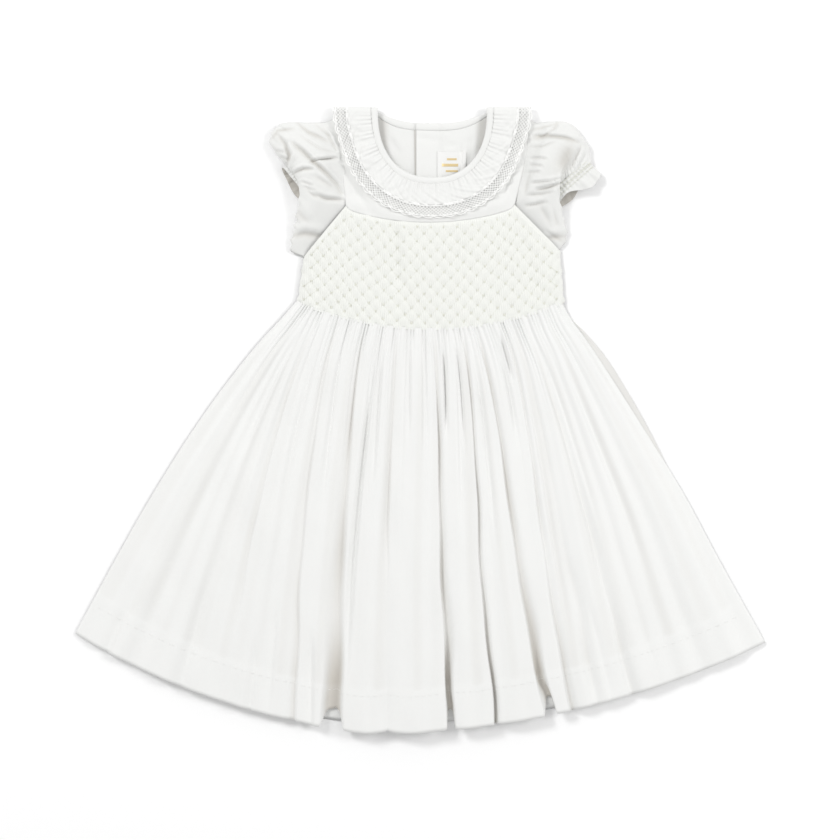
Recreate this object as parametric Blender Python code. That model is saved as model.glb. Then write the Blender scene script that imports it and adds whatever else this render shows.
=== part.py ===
"""A smocked cotton toddler dress, laid flat on its back with its front up.

Every piece that a maker cuts is its own closed solid. The cloth is a wall that
follows the garment's true form: layers lie on each other, the skirt's front
stands in soft pleats, and the neck, hem, cuffs and armholes are open. +X runs
to the right of the front as seen, +Y towards the neck and +Z up from the table.
"""

import math
from collections import namedtuple

import bmesh
import bpy
from mathutils import Vector

MM = 0.001  # the sizes below are in millimetres, and the meshes in metres

# Cloth thickness, with seams and folded edges pressed flat
PLAIN_WALL = 1.2
SKIRT_WALL = 1.5
SMOCKED_WALL = 3.0
LACE_WALL = 1.0
LABEL_WALL = 1.0
SEAM_GAP = 0.3

# Heights of the layers above the table
BACK_REST = 0.0  # the back lies on the table
FRILL_LIFT = 1.5
BUTTON_LIFT = 2.7
OVERLAP_STEP = 1.5
FRONT_LEVEL = 8.0
SMOCKED_LEVEL = 8.5
ARMHOLE_LEVEL = 6.8
SIDE_LEVEL = 3.0
FOLD_AXIS = 5.5

# Neck opening: a deep rounded front and a shallow back, meeting at the shoulders
NECK_X = 11.5
SHOULDER_Y = 285.4
NECK_HALF = 50.5
NECK_DEPTH = 61.0
NECK_POWER = 2.3
BACK_NECK_DEPTH = 10.5
BINDING_WIDTH = 6.5
BINDING_WALL = 2.4

# Collar frill and its lace, measured outwards from the neck edge
FRILL_END = 25.0
LACE_END = 37.0
SHOULDER_EXTRA = 4.0
SHOULDER_SEAM = 0.93  # share of the way over the shoulder where front meets back
FRILL_RADIUS = 4.9
RUFFLES = 15
RUFFLE_RISE = 1.0

# Centre-back opening: the right side laps over the left, seen from the front
LEFT_BACK_END = 15.0
RIGHT_BACK_END = -3.7
FRILL_LEFT_END = -3.0
FRILL_RIGHT_END = 15.5
BUTTON_X = 6.5
BUTTON_RADIUS = 5.0
BUTTON_HEIGHT = 2.3
BUTTON_YS = (271.0, 222.0, 173.0, 124.0)
OPENING_COLUMNS = (-15.0, -9.0, -3.7, 1.5, 6.5, 11.5, 15.0, 22.0, 29.0)

# Waist and hem
WAIST_SIDE_Y = 109.0
WAIST_SAG = 26.0
BACK_WAIST_Y = 100.0
HEM_CENTRE_X = -20.0
HEM_CENTRE_Y = -286.5
HEM_LEFT_CURVE = 0.00098
HEM_RIGHT_CURVE = 0.00069
HEM_BAND = 0.88  # share of the skirt's length where the turned-up hem begins
HEM_EXTRA = 0.5
BACK_HEM_SHORT = 7.0

# Smocked panel's upper edge between the armholes
YOKE_EDGE_SAG = 14.0

# One row for each crease of the front skirt: where it leaves the smocking, where
# it reaches the hem, and the height and hem drop of the pleat to its right
Crease = namedtuple("Crease", "waist hem height drop")
CREASES = (
    Crease(-114.0, -320.0, 2.5, 0.0),
    Crease(-104.0, -270.0, 5.0, 0.0),
    Crease(-92.0, -183.0, 6.5, 0.0),
    Crease(-76.0, -118.0, 7.0, 1.0),
    Crease(-54.0, -80.0, 9.0, 4.0),
    Crease(-20.0, -30.0, 12.0, 4.4),
    Crease(13.0, 30.0, 12.0, 1.5),
    Crease(45.0, 70.0, 11.0, 1.0),
    Crease(68.0, 118.0, 8.0, 0.0),
    Crease(88.0, 140.0, 7.0, 0.0),
    Crease(99.0, 164.0, 6.0, 0.0),
    Crease(108.0, 196.0, 5.0, 0.0),
    Crease(118.0, 224.0, 4.5, 0.0),
    Crease(127.0, 264.0, 3.5, 0.0),
    Crease(134.0, 320.5, 0.0, 0.0),
)

# How far the skirt's sides bow out, by share of the way from waist to hem
Bow = namedtuple("Bow", "share left right")
BOWS = (
    Bow(0.0, 0.0, 0.0),
    Bow(0.1, 10.5, 11.5),
    Bow(0.25, 14.5, 14.0),
    Bow(0.4, 16.5, 11.0),
    Bow(0.55, 15.0, 5.5),
    Bow(0.75, 9.5, 2.5),
    Bow(1.0, 0.0, 0.0),
)

# Armhole seams from the shoulder to the underarm, and the sleeves' outlines from
# the armhole to the cuff: top edge, underarm edge, how far a section bows towards
# the body and how high the puff stands
SeamPoint = namedtuple("SeamPoint", "share x y")
SleeveRow = namedtuple("SleeveRow", "share top_x top_y under_x under_y bow puff")
SEAM_CORNER = 0.62
LEFT_SEAM = (
    SeamPoint(0.0, -76.0, 284.0),
    SeamPoint(0.2, -74.0, 250.0),
    SeamPoint(0.38, -71.0, 228.0),
    SeamPoint(0.62, -68.5, 198.5),
    SeamPoint(0.88, -99.0, 163.5),
    SeamPoint(1.0, -108.0, 151.0),
)
RIGHT_SEAM = (
    SeamPoint(0.0, 97.0, 284.0),
    SeamPoint(0.2, 99.0, 250.0),
    SeamPoint(0.38, 94.0, 226.0),
    SeamPoint(0.62, 87.5, 199.5),
    SeamPoint(0.88, 121.0, 167.0),
    SeamPoint(1.0, 130.0, 157.0),
)
LEFT_SLEEVE = (
    SleeveRow(0.0, -76.0, 284.0, -108.0, 151.0, 0.0, 1.8),
    SleeveRow(0.2, -87.0, 276.5, -120.7, 157.0, 10.0, 8.0),
    SleeveRow(0.4, -105.5, 275.5, -119.5, 168.0, 19.0, 14.0),
    SleeveRow(0.6, -127.0, 275.0, -116.5, 181.0, 21.0, 17.0),
    SleeveRow(0.8, -139.0, 262.0, -113.5, 194.0, 14.0, 15.0),
    SleeveRow(0.92, -135.5, 249.0, -109.5, 201.0, 7.0, 9.0),
    SleeveRow(1.0, -127.5, 240.0, -106.0, 205.0, 2.0, 4.5),
)
RIGHT_SLEEVE = (
    SleeveRow(0.0, 97.0, 284.0, 130.0, 157.0, 0.0, 1.8),
    SleeveRow(0.2, 108.0, 275.5, 136.5, 166.0, 8.0, 8.0),
    SleeveRow(0.4, 122.0, 276.5, 136.5, 178.0, 14.0, 14.0),
    SleeveRow(0.6, 140.0, 275.0, 133.0, 188.5, 15.0, 17.0),
    SleeveRow(0.8, 152.0, 262.0, 128.5, 193.5, 10.0, 15.0),
    SleeveRow(0.92, 157.5, 249.0, 122.5, 198.0, 8.0, 8.5),
    SleeveRow(1.0, 158.5, 238.0, 117.5, 203.0, 2.5, 4.5),
)
FOLD_LEVEL = 5.0
CUFF_HALF_HEIGHT = 3.6
CUFF_RUFFLES = 6
CUFF_RUFFLE_RISE = 0.8

# The cuffs' frills: their gathered edges and then their outer edges
CuffEdge = namedtuple("CuffEdge", "top_x top_y under_x under_y")
LEFT_CUFF = (CuffEdge(-128.5, 234.8, -110.3, 205.8), CuffEdge(-132.0, 226.0, -117.5, 209.0))
RIGHT_CUFF = (CuffEdge(162.4, 233.6, 127.2, 202.0), CuffEdge(171.5, 225.5, 136.0, 202.5))

# Plain neck label inside the back
LABEL_X = (16.0, 43.0)
LABEL_Y = (224.0, 249.0)

# How finely each piece is divided
PLEAT_STEPS = 4
SKIRT_ROWS = 11
SMOCKED_ROWS = 4
BACK_SKIRT_STEPS = 3
BACK_SKIRT_ROWS = 6
SLEEVE_AROUND = 22
SLEEVE_ROWS = 10
CUFF_AROUND = 30


def lerp(a, b, share):
    return a + (b - a) * share


def ease(share):
    share = min(max(share, 0.0), 1.0)
    return share * share * (3.0 - 2.0 * share)


def hump(share, power):
    """Rises from 0 to 1 and falls back to 0 as share runs from 0 to 1."""
    return max(math.sin(math.pi * share), 0.0) ** power


def read(rows, column, share):
    """A table's column at a share, by straight lines between its rows."""
    for low, high in zip(rows, rows[1:]):
        if share <= high.share:
            part = (share - low.share) / (high.share - low.share)
            return lerp(getattr(low, column), getattr(high, column), part)
    return getattr(rows[-1], column)


def shares(count):
    return [i / count for i in range(count + 1)]


def material(name, colour, roughness, sheen):
    surface = bpy.data.materials.new(name)
    surface.use_nodes = True
    shader = surface.node_tree.nodes["Principled BSDF"]
    shader.inputs["Base Color"].default_value = (*colour, 1.0)
    shader.inputs["Roughness"].default_value = roughness
    shader.inputs["Metallic"].default_value = 0.0
    shader.inputs["Sheen Weight"].default_value = sheen
    return surface


def make_object(name, vertices, faces, surface):
    mesh = bpy.data.meshes.new(name)
    mesh.from_pydata([Vector(v) * MM for v in vertices], [], faces)
    piece = bmesh.new()
    piece.from_mesh(mesh)
    bmesh.ops.recalc_face_normals(piece, faces=piece.faces)
    piece.to_mesh(mesh)
    piece.free()
    mesh.shade_smooth()
    mesh.set_sharp_from_angle(angle=math.radians(40.0))
    mesh.materials.append(surface)
    made = bpy.data.objects.new(name, mesh)
    bpy.context.collection.objects.link(made)
    return made


def close_walls(name, lower, upper, surface, ring=False):
    """Joins two grids of the same size into one closed wall.

    With ring set, each row's last point meets its first, so the wall is a tube
    with open ends.
    """
    rows = len(lower)
    columns = len(lower[0])
    vertices = [p for row in lower for p in row] + [p for row in upper for p in row]
    top = rows * columns
    faces = []
    last = columns if ring else columns - 1
    for i in range(rows - 1):
        for j in range(last):
            a = i * columns + j
            b = i * columns + (j + 1) % columns
            c = b + columns
            d = a + columns
            faces.append((a, d, c, b))
            faces.append((a + top, b + top, c + top, d + top))
    for j in range(last):
        for i in (0, rows - 1):
            a = i * columns + j
            b = i * columns + (j + 1) % columns
            faces.append((a, b, b + top, a + top))
    if not ring:
        for i in range(rows - 1):
            for j in (0, columns - 1):
                a = i * columns + j
                b = a + columns
                faces.append((a, b, b + top, a + top))
    return make_object(name, vertices, faces, surface)


def slab(name, plan, bottom, height, surface):
    """A panel from rows of plan points: it starts at bottom and is height thick."""
    lower = [[(x, y, bottom(x, y)) for x, y in row] for row in plan]
    upper = [[(x, y, bottom(x, y) + height(x, y)) for x, y in row] for row in plan]
    return close_walls(name, lower, upper, surface)


def thicken(name, middle, wall, surface, ring=False):
    """A wall on both sides of a middle surface, given as a grid of points."""
    rows = len(middle)
    columns = len(middle[0])
    lower = []
    upper = []
    for i in range(rows):
        low_row = []
        high_row = []
        for j in range(columns):
            if ring:
                left = middle[i][(j - 1) % columns]
                right = middle[i][(j + 1) % columns]
            else:
                left = middle[i][max(j - 1, 0)]
                right = middle[i][min(j + 1, columns - 1)]
            before = middle[max(i - 1, 0)][j]
            after = middle[min(i + 1, rows - 1)][j]
            normal = (Vector(right) - Vector(left)).cross(Vector(after) - Vector(before))
            normal.normalize()
            half = (wall(i, j) if callable(wall) else wall) / 2.0
            point = Vector(middle[i][j])
            low_row.append(point - normal * half)
            high_row.append(point + normal * half)
        lower.append(low_row)
        upper.append(high_row)
    return close_walls(name, lower, upper, surface, ring)


# The frill lifts the back this far from the neck's centre, then the lift fades out
FRILL_REACH = 98.0
FRILL_FADE = 27.0
# The buttons lift a strip this wide on each side of them, from this height up
STRIP_HALF = 9.0
STRIP_FADE = 12.0
STRIP_FOOT = 104.0
STRIP_RISE = 10.0
# The lap of the right half over the left ends this far past the left half's edge
LAP_CLEAR = 1.0
LAP_FADE = 12.0


def back_lift(x, y):
    """How far the back is held off the table by the frill and the buttons."""
    from_neck = math.hypot(x - NECK_X, y - SHOULDER_Y)
    frill = FRILL_LIFT * (1.0 - ease((from_neck - FRILL_REACH) / FRILL_FADE))
    strip = 1.0 - ease((abs(x - BUTTON_X) - STRIP_HALF) / STRIP_FADE)
    strip *= ease((y - STRIP_FOOT) / STRIP_RISE)
    return BACK_REST + max(frill, BUTTON_LIFT * strip)


def overlap_step(x):
    return OVERLAP_STEP * (1.0 - ease((x - LEFT_BACK_END - LAP_CLEAR) / LAP_FADE))


def neck_station(t, back_end):
    """The neck edge: |t| up to 1 is the front, to 2 the shoulder, to 3 the back.

    Returns the plan point, the plan direction away from the opening, and the
    turn about the shoulder's fold from 0 at the front to pi at the back.
    """
    side = -1.0 if t < 0.0 else 1.0
    reach = abs(t)
    shoulder_x = NECK_X + side * NECK_HALF
    if reach <= 1.0:
        angle = math.pi * (1.0 - t) / 2.0
        power = 2.0 / NECK_POWER
        across = math.copysign(abs(math.cos(angle)) ** power, math.cos(angle))
        down = math.sin(angle) ** power if 0.0 < angle < math.pi else 0.0
        point = (NECK_X + NECK_HALF * across, SHOULDER_Y - NECK_DEPTH * down)
        steep = 2.0 - power
        normal = (
            math.copysign(abs(math.cos(angle)) ** steep, math.cos(angle)) * NECK_DEPTH,
            -(math.sin(angle) ** steep if down else 0.0) * NECK_HALF,
        )
        length = math.hypot(*normal)
        return point, (normal[0] / length, normal[1] / length), 0.0
    if reach <= 2.0:
        return (shoulder_x, SHOULDER_Y), (side, 0.0), math.pi * (reach - 1.0)
    x = lerp(shoulder_x, back_end, reach - 2.0)
    across = abs(x - NECK_X) / NECK_HALF
    y = SHOULDER_Y - BACK_NECK_DEPTH * (1.0 - across**2.5)
    turn = math.pi / 2.0 * ease((reach - 2.0) * 1.7)
    return (x, y), (side * math.cos(turn), -math.sin(turn)), math.pi


def neck_point(t, out, front_radius, back_radius, back_end):
    """A point at a distance out from the neck edge, on a layer of the garment."""
    point, away, turn = neck_station(t, back_end)
    radius = lerp(front_radius, back_radius, turn / math.pi)
    return Vector(
        (
            point[0] + away[0] * out,
            point[1] + away[1] * out + radius * math.sin(turn),
            FOLD_AXIS + radius * math.cos(turn),
        )
    )


def back_level(x, y, side):
    """Middle height of the back's cloth; the right side laps over the left."""
    level = back_lift(x, y) + PLAIN_WALL / 2.0
    return level + overlap_step(x) if side > 0 else level


def neck_steps(front, shoulder, back):
    """Values of t all round, from the left back end to the right back end."""
    steps = [-3.0 + q for q in shares(back)]
    steps += [-2.0 + q for q in shares(shoulder)[1:]]
    steps += [lerp(-1.0, 1.0, q) for q in shares(front)[1:]]
    steps += [1.0 + q for q in shares(shoulder)[1:]]
    steps += [2.0 + q for q in shares(back)[1:]]
    return steps


def make_neck_binding(surface):
    inner = []
    outer = []
    for t in neck_steps(36, 4, 8):
        back_end = RIGHT_BACK_END if t > 0 else LEFT_BACK_END
        side = 1 if t > 0 else -1
        turn = neck_station(t, back_end)[2]
        half = lerp(BINDING_WALL, PLAIN_WALL, turn / math.pi) / 2.0
        radius = FRONT_LEVEL + 1.2 - FOLD_AXIS
        low_row = []
        high_row = []
        for out in (0.0, BINDING_WIDTH):
            middle = neck_point(t, out, radius, FOLD_AXIS - FRILL_LIFT - 0.6, back_end)
            if turn == math.pi:
                middle.z = back_level(middle.x, middle.y, side)
            layer = Vector((0.0, math.sin(turn), math.cos(turn)))
            low_row.append(middle - layer * half)
            high_row.append(middle + layer * half)
        inner.append(low_row)
        outer.append(high_row)
    return close_walls("neck_binding", inner, outer, surface)


def ruffle(t, out):
    """The frill's waves: they grow towards its edge and die at the shoulders."""
    front = ease((1.15 - abs(t)) / 0.3)
    grow = (out - BINDING_WIDTH) / (LACE_END - BINDING_WIDTH)
    wave = math.sin(math.pi * RUFFLES * t) + 0.35 * math.sin(1.7 * math.pi * RUFFLES * t + 1.0)
    return front * (0.3 + grow * (RUFFLE_RISE * wave + 1.3))


def make_collar_band(name, start, end, rows, wall, surface):
    middle = []
    for share in shares(rows):
        row = []
        for t in neck_steps(3 * RUFFLES, 4, 7):
            back_end = FRILL_RIGHT_END if t > 0 else FRILL_LEFT_END
            wide = 1.0 + SHOULDER_EXTRA / LACE_END * ease((abs(t) - 0.75) / 0.25)
            out = lerp(start, end, share) * wide
            radius = FRILL_RADIUS + ruffle(t, out)
            row.append(neck_point(t, out, radius, FOLD_AXIS - wall / 2.0, back_end))
        middle.append(row)
    return thicken(name, middle, wall, surface)


def seam_of(side):
    return RIGHT_SEAM if side > 0 else LEFT_SEAM


def seam_point(side, share):
    seam = seam_of(side)
    return read(seam, "x", share), read(seam, "y", share)


def yoke_edge_y(x):
    """The smocked panel's upper edge, from armhole to armhole."""
    left_x, left_y = seam_point(-1, SEAM_CORNER)
    right_x, right_y = seam_point(1, SEAM_CORNER)
    share = (x - left_x) / (right_x - left_x)
    return lerp(left_y, right_y, share) - YOKE_EDGE_SAG * hump(share, 0.7)


def yoke_outer(t):
    """The yoke's outer edge for a place on the neck: armhole seam, then lower edge."""
    side = -1 if t < 0 else 1
    reach = min(abs(t), 1.0)
    if reach >= 0.5:
        x, y = seam_point(side, SEAM_CORNER * (1.0 - reach) / 0.5)
        return x - side * SEAM_GAP, min(y, SHOULDER_Y)
    left_x = seam_point(-1, SEAM_CORNER)[0]
    right_x = seam_point(1, SEAM_CORNER)[0]
    x = lerp(left_x + SEAM_GAP, right_x - SEAM_GAP, t + 0.5)
    return x, yoke_edge_y(x) + SEAM_GAP


# How far the yoke lies from the shoulder fold's axis, in front and behind
YOKE_FRONT_RADIUS = 2.5
YOKE_BACK_RADIUS = 3.4


def make_yoke(surface):
    fold = [1.0 + q * SHOULDER_SEAM for q in (0.33, 0.66, 1.0)]
    steps = [-q for q in reversed(fold)] + [lerp(-1.0, 1.0, q) for q in shares(24)] + fold
    middle = []
    for share in shares(4):
        row = []
        for t in steps:
            inner = neck_point(
                t, BINDING_WIDTH + SEAM_GAP, YOKE_FRONT_RADIUS, YOKE_BACK_RADIUS, 0.0
            )
            outer_x, outer_y = yoke_outer(t)
            point = inner.copy()
            point.x = lerp(inner.x, outer_x, share)
            if abs(t) <= 1.0:
                point.y = lerp(inner.y, outer_y, share)
                edge = ease((abs(t) - 0.45) / 0.1)
                point.z -= (FRONT_LEVEL - ARMHOLE_LEVEL) * edge * ease(share * 1.5 - 0.5)
            row.append(point)
        middle.append(row)
    return thicken("yoke_front", middle, PLAIN_WALL, surface)


def neck_edge_y(side, x):
    """Where the binding's outer edge crosses x at the back, or the shoulder line."""
    end = RIGHT_BACK_END if side > 0 else LEFT_BACK_END
    before = neck_point(2.0 * side, BINDING_WIDTH + 2.0 * SEAM_GAP, 0.0, 0.0, end)
    for q in shares(24)[1:]:
        after = neck_point((2.0 + q) * side, BINDING_WIDTH + 2.0 * SEAM_GAP, 0.0, 0.0, end)
        if (before.x - x) * (after.x - x) <= 0.0:
            return lerp(before.y, after.y, (x - before.x) / (after.x - before.x))
        before = after
    return SHOULDER_Y if abs(x - NECK_X) > NECK_HALF else before.y


def side_edge_x(side, y):
    """The armhole seam above the underarm, and the side seam below it."""
    waist_x = CREASES[-1].waist if side > 0 else CREASES[0].waist
    before = SeamPoint(0.0, waist_x, BACK_WAIST_Y)
    for after in reversed(seam_of(side)):
        if y <= after.y:
            part = (y - before.y) / (after.y - before.y)
            return lerp(before.x, after.x, part) - side * SEAM_GAP
        before = after
    return before.x - side * SEAM_GAP


def make_back(name, side, surface):
    """One back: upright columns at its opening, fanning out to the side and armhole."""
    end = RIGHT_BACK_END if side > 0 else LEFT_BACK_END
    inside = [x for x in OPENING_COLUMNS if side * (x - end) > 0.5]
    upright = [end] + sorted(inside, key=lambda x: side * x)
    heights = [BACK_WAIST_Y, 125.0] + sorted(p.y for p in seam_of(side))
    full = heights[-1] - BACK_WAIST_Y
    middle = []
    for side_y in heights:
        row = []
        for n in [0.0] * (len(upright) - 1) + shares(6):
            x = upright[min(len(row), len(upright) - 1)]
            top_x = lerp(x, side_edge_x(side, heights[-1]), n)
            top_y = neck_edge_y(side, top_x)
            y = BACK_WAIST_Y + (side_y - BACK_WAIST_Y) * (top_y - BACK_WAIST_Y) / full
            x = lerp(x, side_edge_x(side, side_y), n)
            row.append((x, y, back_level(x, y, side)))
        middle.append(row)
    return thicken(name, middle, PLAIN_WALL, surface)


def waist_y(x):
    left = CREASES[0].waist
    share = (x - left) / (CREASES[-1].waist - left)
    return WAIST_SIDE_Y - WAIST_SAG * hump(share, 0.8)


def hem_y(x):
    away = x - HEM_CENTRE_X
    curve = HEM_LEFT_CURVE if away < 0.0 else HEM_RIGHT_CURVE
    return HEM_CENTRE_Y + curve * away * away


def pleat_columns(steps):
    """Each column of the skirt: waist x, hem x, place in its pleat, and the crease."""
    columns = []
    for crease, after in zip(CREASES, CREASES[1:]):
        for step in range(steps):
            part = step / steps
            waist = lerp(crease.waist, after.waist, part)
            columns.append((waist, lerp(crease.hem, after.hem, part), part, crease))
    columns.append((CREASES[-1].waist, CREASES[-1].hem, 0.0, CREASES[-1]))
    return columns


def skirt_point(waist_x, hem_x, top_y, bottom_y, share):
    """Down a pleat from waist to hem, with the sides bowed out."""
    across = (waist_x - CREASES[0].waist) / (CREASES[-1].waist - CREASES[0].waist)
    bow = read(BOWS, "right", share) * across**2 - read(BOWS, "left", share) * (1 - across) ** 2
    return lerp(waist_x, hem_x, share) + bow, lerp(top_y, bottom_y, share)


def smocked_top_y(x):
    """The front panel's top: up the armhole seams and along the yoke."""
    for side in (-1, 1):
        corner_x, corner_y = seam_point(side, SEAM_CORNER)
        arm_x, arm_y = seam_point(side, 1.0)
        if side * (x - corner_x) > 0.0:
            return lerp(corner_y, arm_y, (x - corner_x) / (arm_x - corner_x))
    return yoke_edge_y(x)


# Levels of the front skirt's creases and sides, and the share of the way where each settles
CREASE_LEVEL = 3.75
CREASE_SETTLES = 0.35
SKIRT_SIDE_LEVEL = 2.25
SIDE_SETTLES = 0.2
# The smocked chest rolls down to its side seams over this share of its width
SIDE_ROLL = 0.13
# Height of a pleat where it leaves the smocking, and of the back skirt's pressed pleats
GATHER_HEIGHT = 2.5
BACK_PLEAT = 1.2


def make_front_panel(surface):
    columns = pleat_columns(PLEAT_STEPS)
    last = len(columns) - 1
    left_x = seam_point(-1, 1.0)[0]
    right_x = seam_point(1, 1.0)[0]
    middle = []
    walls = []
    for share in shares(SMOCKED_ROWS):
        row = []
        for waist_x, *_ in columns:
            across = (waist_x - CREASES[0].waist) / (CREASES[-1].waist - CREASES[0].waist)
            x = lerp(left_x, right_x, across)
            y = lerp(smocked_top_y(x), waist_y(waist_x), share)
            side = ease(min(across, 1.0 - across) / SIDE_ROLL)
            row.append((lerp(x, waist_x, share), y, lerp(SIDE_LEVEL, SMOCKED_LEVEL, side)))
        middle.append(row)
        walls.append(SMOCKED_WALL)
    for share in shares(SKIRT_ROWS)[1:]:
        row = []
        for j, (waist_x, hem_x, part, crease) in enumerate(columns):
            drop = crease.drop * hump(part, 0.5)
            x, y = skirt_point(waist_x, hem_x, waist_y(waist_x), hem_y(hem_x) - drop, share)
            edge = ease(min(j, last - j) / PLEAT_STEPS)
            crease_z = lerp(SMOCKED_LEVEL, CREASE_LEVEL, ease(share / CREASE_SETTLES))
            side_z = lerp(SIDE_LEVEL, SKIRT_SIDE_LEVEL, ease(share / SIDE_SETTLES))
            height = lerp(GATHER_HEIGHT, crease.height, share**0.8) * hump(part, 0.8)
            row.append((x, y, lerp(side_z, crease_z, edge) + height))
        middle.append(row)
        walls.append(SKIRT_WALL + (HEM_EXTRA if share > HEM_BAND else 0.0))
    return thicken("front_panel", middle, lambda i, j: walls[i], surface)


def make_skirt_back(surface):
    """Lies flat on the table; its gathers are pressed into thicker folds on top."""
    columns = pleat_columns(BACK_SKIRT_STEPS)
    plan = []
    heights = {}
    for share in shares(BACK_SKIRT_ROWS):
        row = []
        for j, (waist_x, hem_x, part, _) in enumerate(columns):
            low = hem_y(hem_x) + BACK_HEM_SHORT * hump(j / (len(columns) - 1), 0.4)
            point = skirt_point(waist_x, hem_x, BACK_WAIST_Y - SEAM_GAP, low, share)
            heights[point] = PLAIN_WALL + BACK_PLEAT * hump(part, 1.0)
            row.append(point)
        plan.append(row)
    return slab(
        "skirt_back",
        plan,
        lambda x, y: BACK_REST,
        lambda x, y: heights[(x, y)],
        surface,
    )


def sleeve_plan(side, rows, along, down):
    """A place on the flat sleeve: along from armhole to cuff, down to the underarm."""
    top = Vector((read(rows, "top_x", along), read(rows, "top_y", along)))
    under = Vector((read(rows, "under_x", along), read(rows, "under_y", along)))
    first = rows[0]
    chord = Vector((lerp(first.top_x, first.under_x, down), lerp(first.top_y, first.under_y, down)))
    pull = (Vector(seam_point(side, down)) - chord) * (1.0 - along) ** 2
    cuff = Vector((rows[-1].under_x - rows[-1].top_x, rows[-1].under_y - rows[-1].top_y))
    inward = Vector((side * cuff.y, -side * cuff.x)).normalized()
    point = top.lerp(under, down) + pull + inward * read(rows, "bow", along) * hump(down, 1.0)
    point.x += side * 0.9 * (1.0 - along)
    return point


def make_sleeve(name, side, rows, surface):
    middle = []
    half = SLEEVE_AROUND // 2
    for along in shares(SLEEVE_ROWS):
        row = []
        puff = read(rows, "puff", along)
        for step in range(SLEEVE_AROUND):
            front = step <= half
            down = step / half if front else (SLEEVE_AROUND - step) / half
            plan = sleeve_plan(side, rows, along, down)
            at_body = (1.0 - along) ** 2
            level = lerp(FOLD_LEVEL, lerp(FOLD_LEVEL, SIDE_LEVEL - 0.5, down), at_body)
            if front:
                z = level + puff * hump(down, 0.75)
            else:
                rest = back_lift(plan.x, plan.y) + PLAIN_WALL / 2.0 + 0.1
                z = lerp(level, rest, hump(down, 0.4))
            row.append((plan.x, plan.y, z))
        middle.append(row)
    return thicken(name, middle, PLAIN_WALL, surface, ring=True)


def make_cuff(name, edges, surface):
    """The gathered cuff's frill: a short flared tube beyond the sleeve's end."""
    tops = [Vector((edge.top_x, edge.top_y)) for edge in edges]
    unders = [Vector((edge.under_x, edge.under_y)) for edge in edges]
    middle = []
    for share in shares(3):
        row = []
        for step in range(CUFF_AROUND):
            angle = 2.0 * math.pi * step / CUFF_AROUND
            wave = CUFF_RUFFLE_RISE * share * math.sin(CUFF_RUFFLES * angle)
            top = tops[0].lerp(tops[1], share)
            under = unders[0].lerp(unders[1], share)
            plan = top.lerp(under, (1.0 - math.cos(angle)) / 2.0)
            high = (CUFF_HALF_HEIGHT + wave) * math.sin(angle)
            row.append((plan.x, plan.y, FOLD_LEVEL + high))
        middle.append(row)
    return thicken(name, middle, PLAIN_WALL, surface, ring=True)


def make_label(surface):
    plan = [
        [(lerp(*LABEL_X, across), lerp(*LABEL_Y, up)) for across in shares(6)]
        for up in shares(5)
    ]
    return slab(
        "neck_label",
        plan,
        lambda x, y: back_level(x, y, 1) + PLAIN_WALL / 2.0 + 0.4,
        lambda x, y: LABEL_WALL,
        surface,
    )


def make_button(name, y, surface):
    """A turned button with a rounded rim, face down on the table."""
    profile = ((0.0, 0.0), (3.4, 0.0), (4.6, 0.35), (5.0, 1.1), (4.6, 1.9), (3.4, 2.3), (0.0, 2.3))
    sides = 20
    vertices = [(BUTTON_X, y, 0.0)]
    scale = BUTTON_RADIUS / profile[3][0]
    rings = profile[1:-1]
    for radius, z in rings:
        for step in range(sides):
            angle = 2.0 * math.pi * step / sides
            x = BUTTON_X + radius * scale * math.cos(angle)
            vertices.append((x, y + radius * scale * math.sin(angle), z))
    vertices.append((BUTTON_X, y, BUTTON_HEIGHT))
    faces = []
    for step in range(sides):
        after = (step + 1) % sides
        faces.append((0, 1 + after, 1 + step))
        for ring in range(len(rings) - 1):
            a = 1 + ring * sides
            b = a + sides
            faces.append((a + step, a + after, b + after, b + step))
        top = 1 + (len(rings) - 1) * sides
        faces.append((top + step, top + after, len(vertices) - 1))
    return make_object(name, vertices, faces, surface)


def main():
    for old in list(bpy.data.objects):
        bpy.data.objects.remove(old, do_unlink=True)
    cotton = material("white_cotton", (0.88, 0.88, 0.865), 0.62, 0.25)
    smocked = material("smocked_cotton", (0.87, 0.875, 0.85), 0.7, 0.2)
    lace = material("cotton_lace", (0.86, 0.865, 0.85), 0.8, 0.1)
    satin = material("label_satin", (0.86, 0.85, 0.8), 0.4, 0.2)
    shell = material("button_white", (0.9, 0.9, 0.88), 0.3, 0.0)
    make_skirt_back(cotton)
    make_back("back_left", -1, cotton)
    make_back("back_right", 1, cotton)
    for number, y in enumerate(BUTTON_YS, 1):
        make_button(f"button_{number}", y, shell)
    make_label(satin)
    make_front_panel(smocked)
    make_yoke(cotton)
    make_neck_binding(cotton)
    make_collar_band("collar_frill", BINDING_WIDTH + SEAM_GAP, FRILL_END, 3, PLAIN_WALL, cotton)
    make_collar_band("collar_lace", FRILL_END + SEAM_GAP, LACE_END, 2, LACE_WALL, lace)
    make_sleeve("sleeve_left", -1, LEFT_SLEEVE, cotton)
    make_sleeve("sleeve_right", 1, RIGHT_SLEEVE, cotton)
    make_cuff("cuff_left", LEFT_CUFF, cotton)
    make_cuff("cuff_right", RIGHT_CUFF, cotton)


main()
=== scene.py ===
# %% [markdown]
# # A smocked cotton dress for a toddler, laid flat
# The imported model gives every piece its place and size. This file gives each piece its
# cloth: thin shells with their own pleats, gathers, stitches and lace. Sizes are in
# millimetres, because a maker thinks in them, and each mesh is scaled to metres at the end.

import math
from collections import namedtuple

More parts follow.
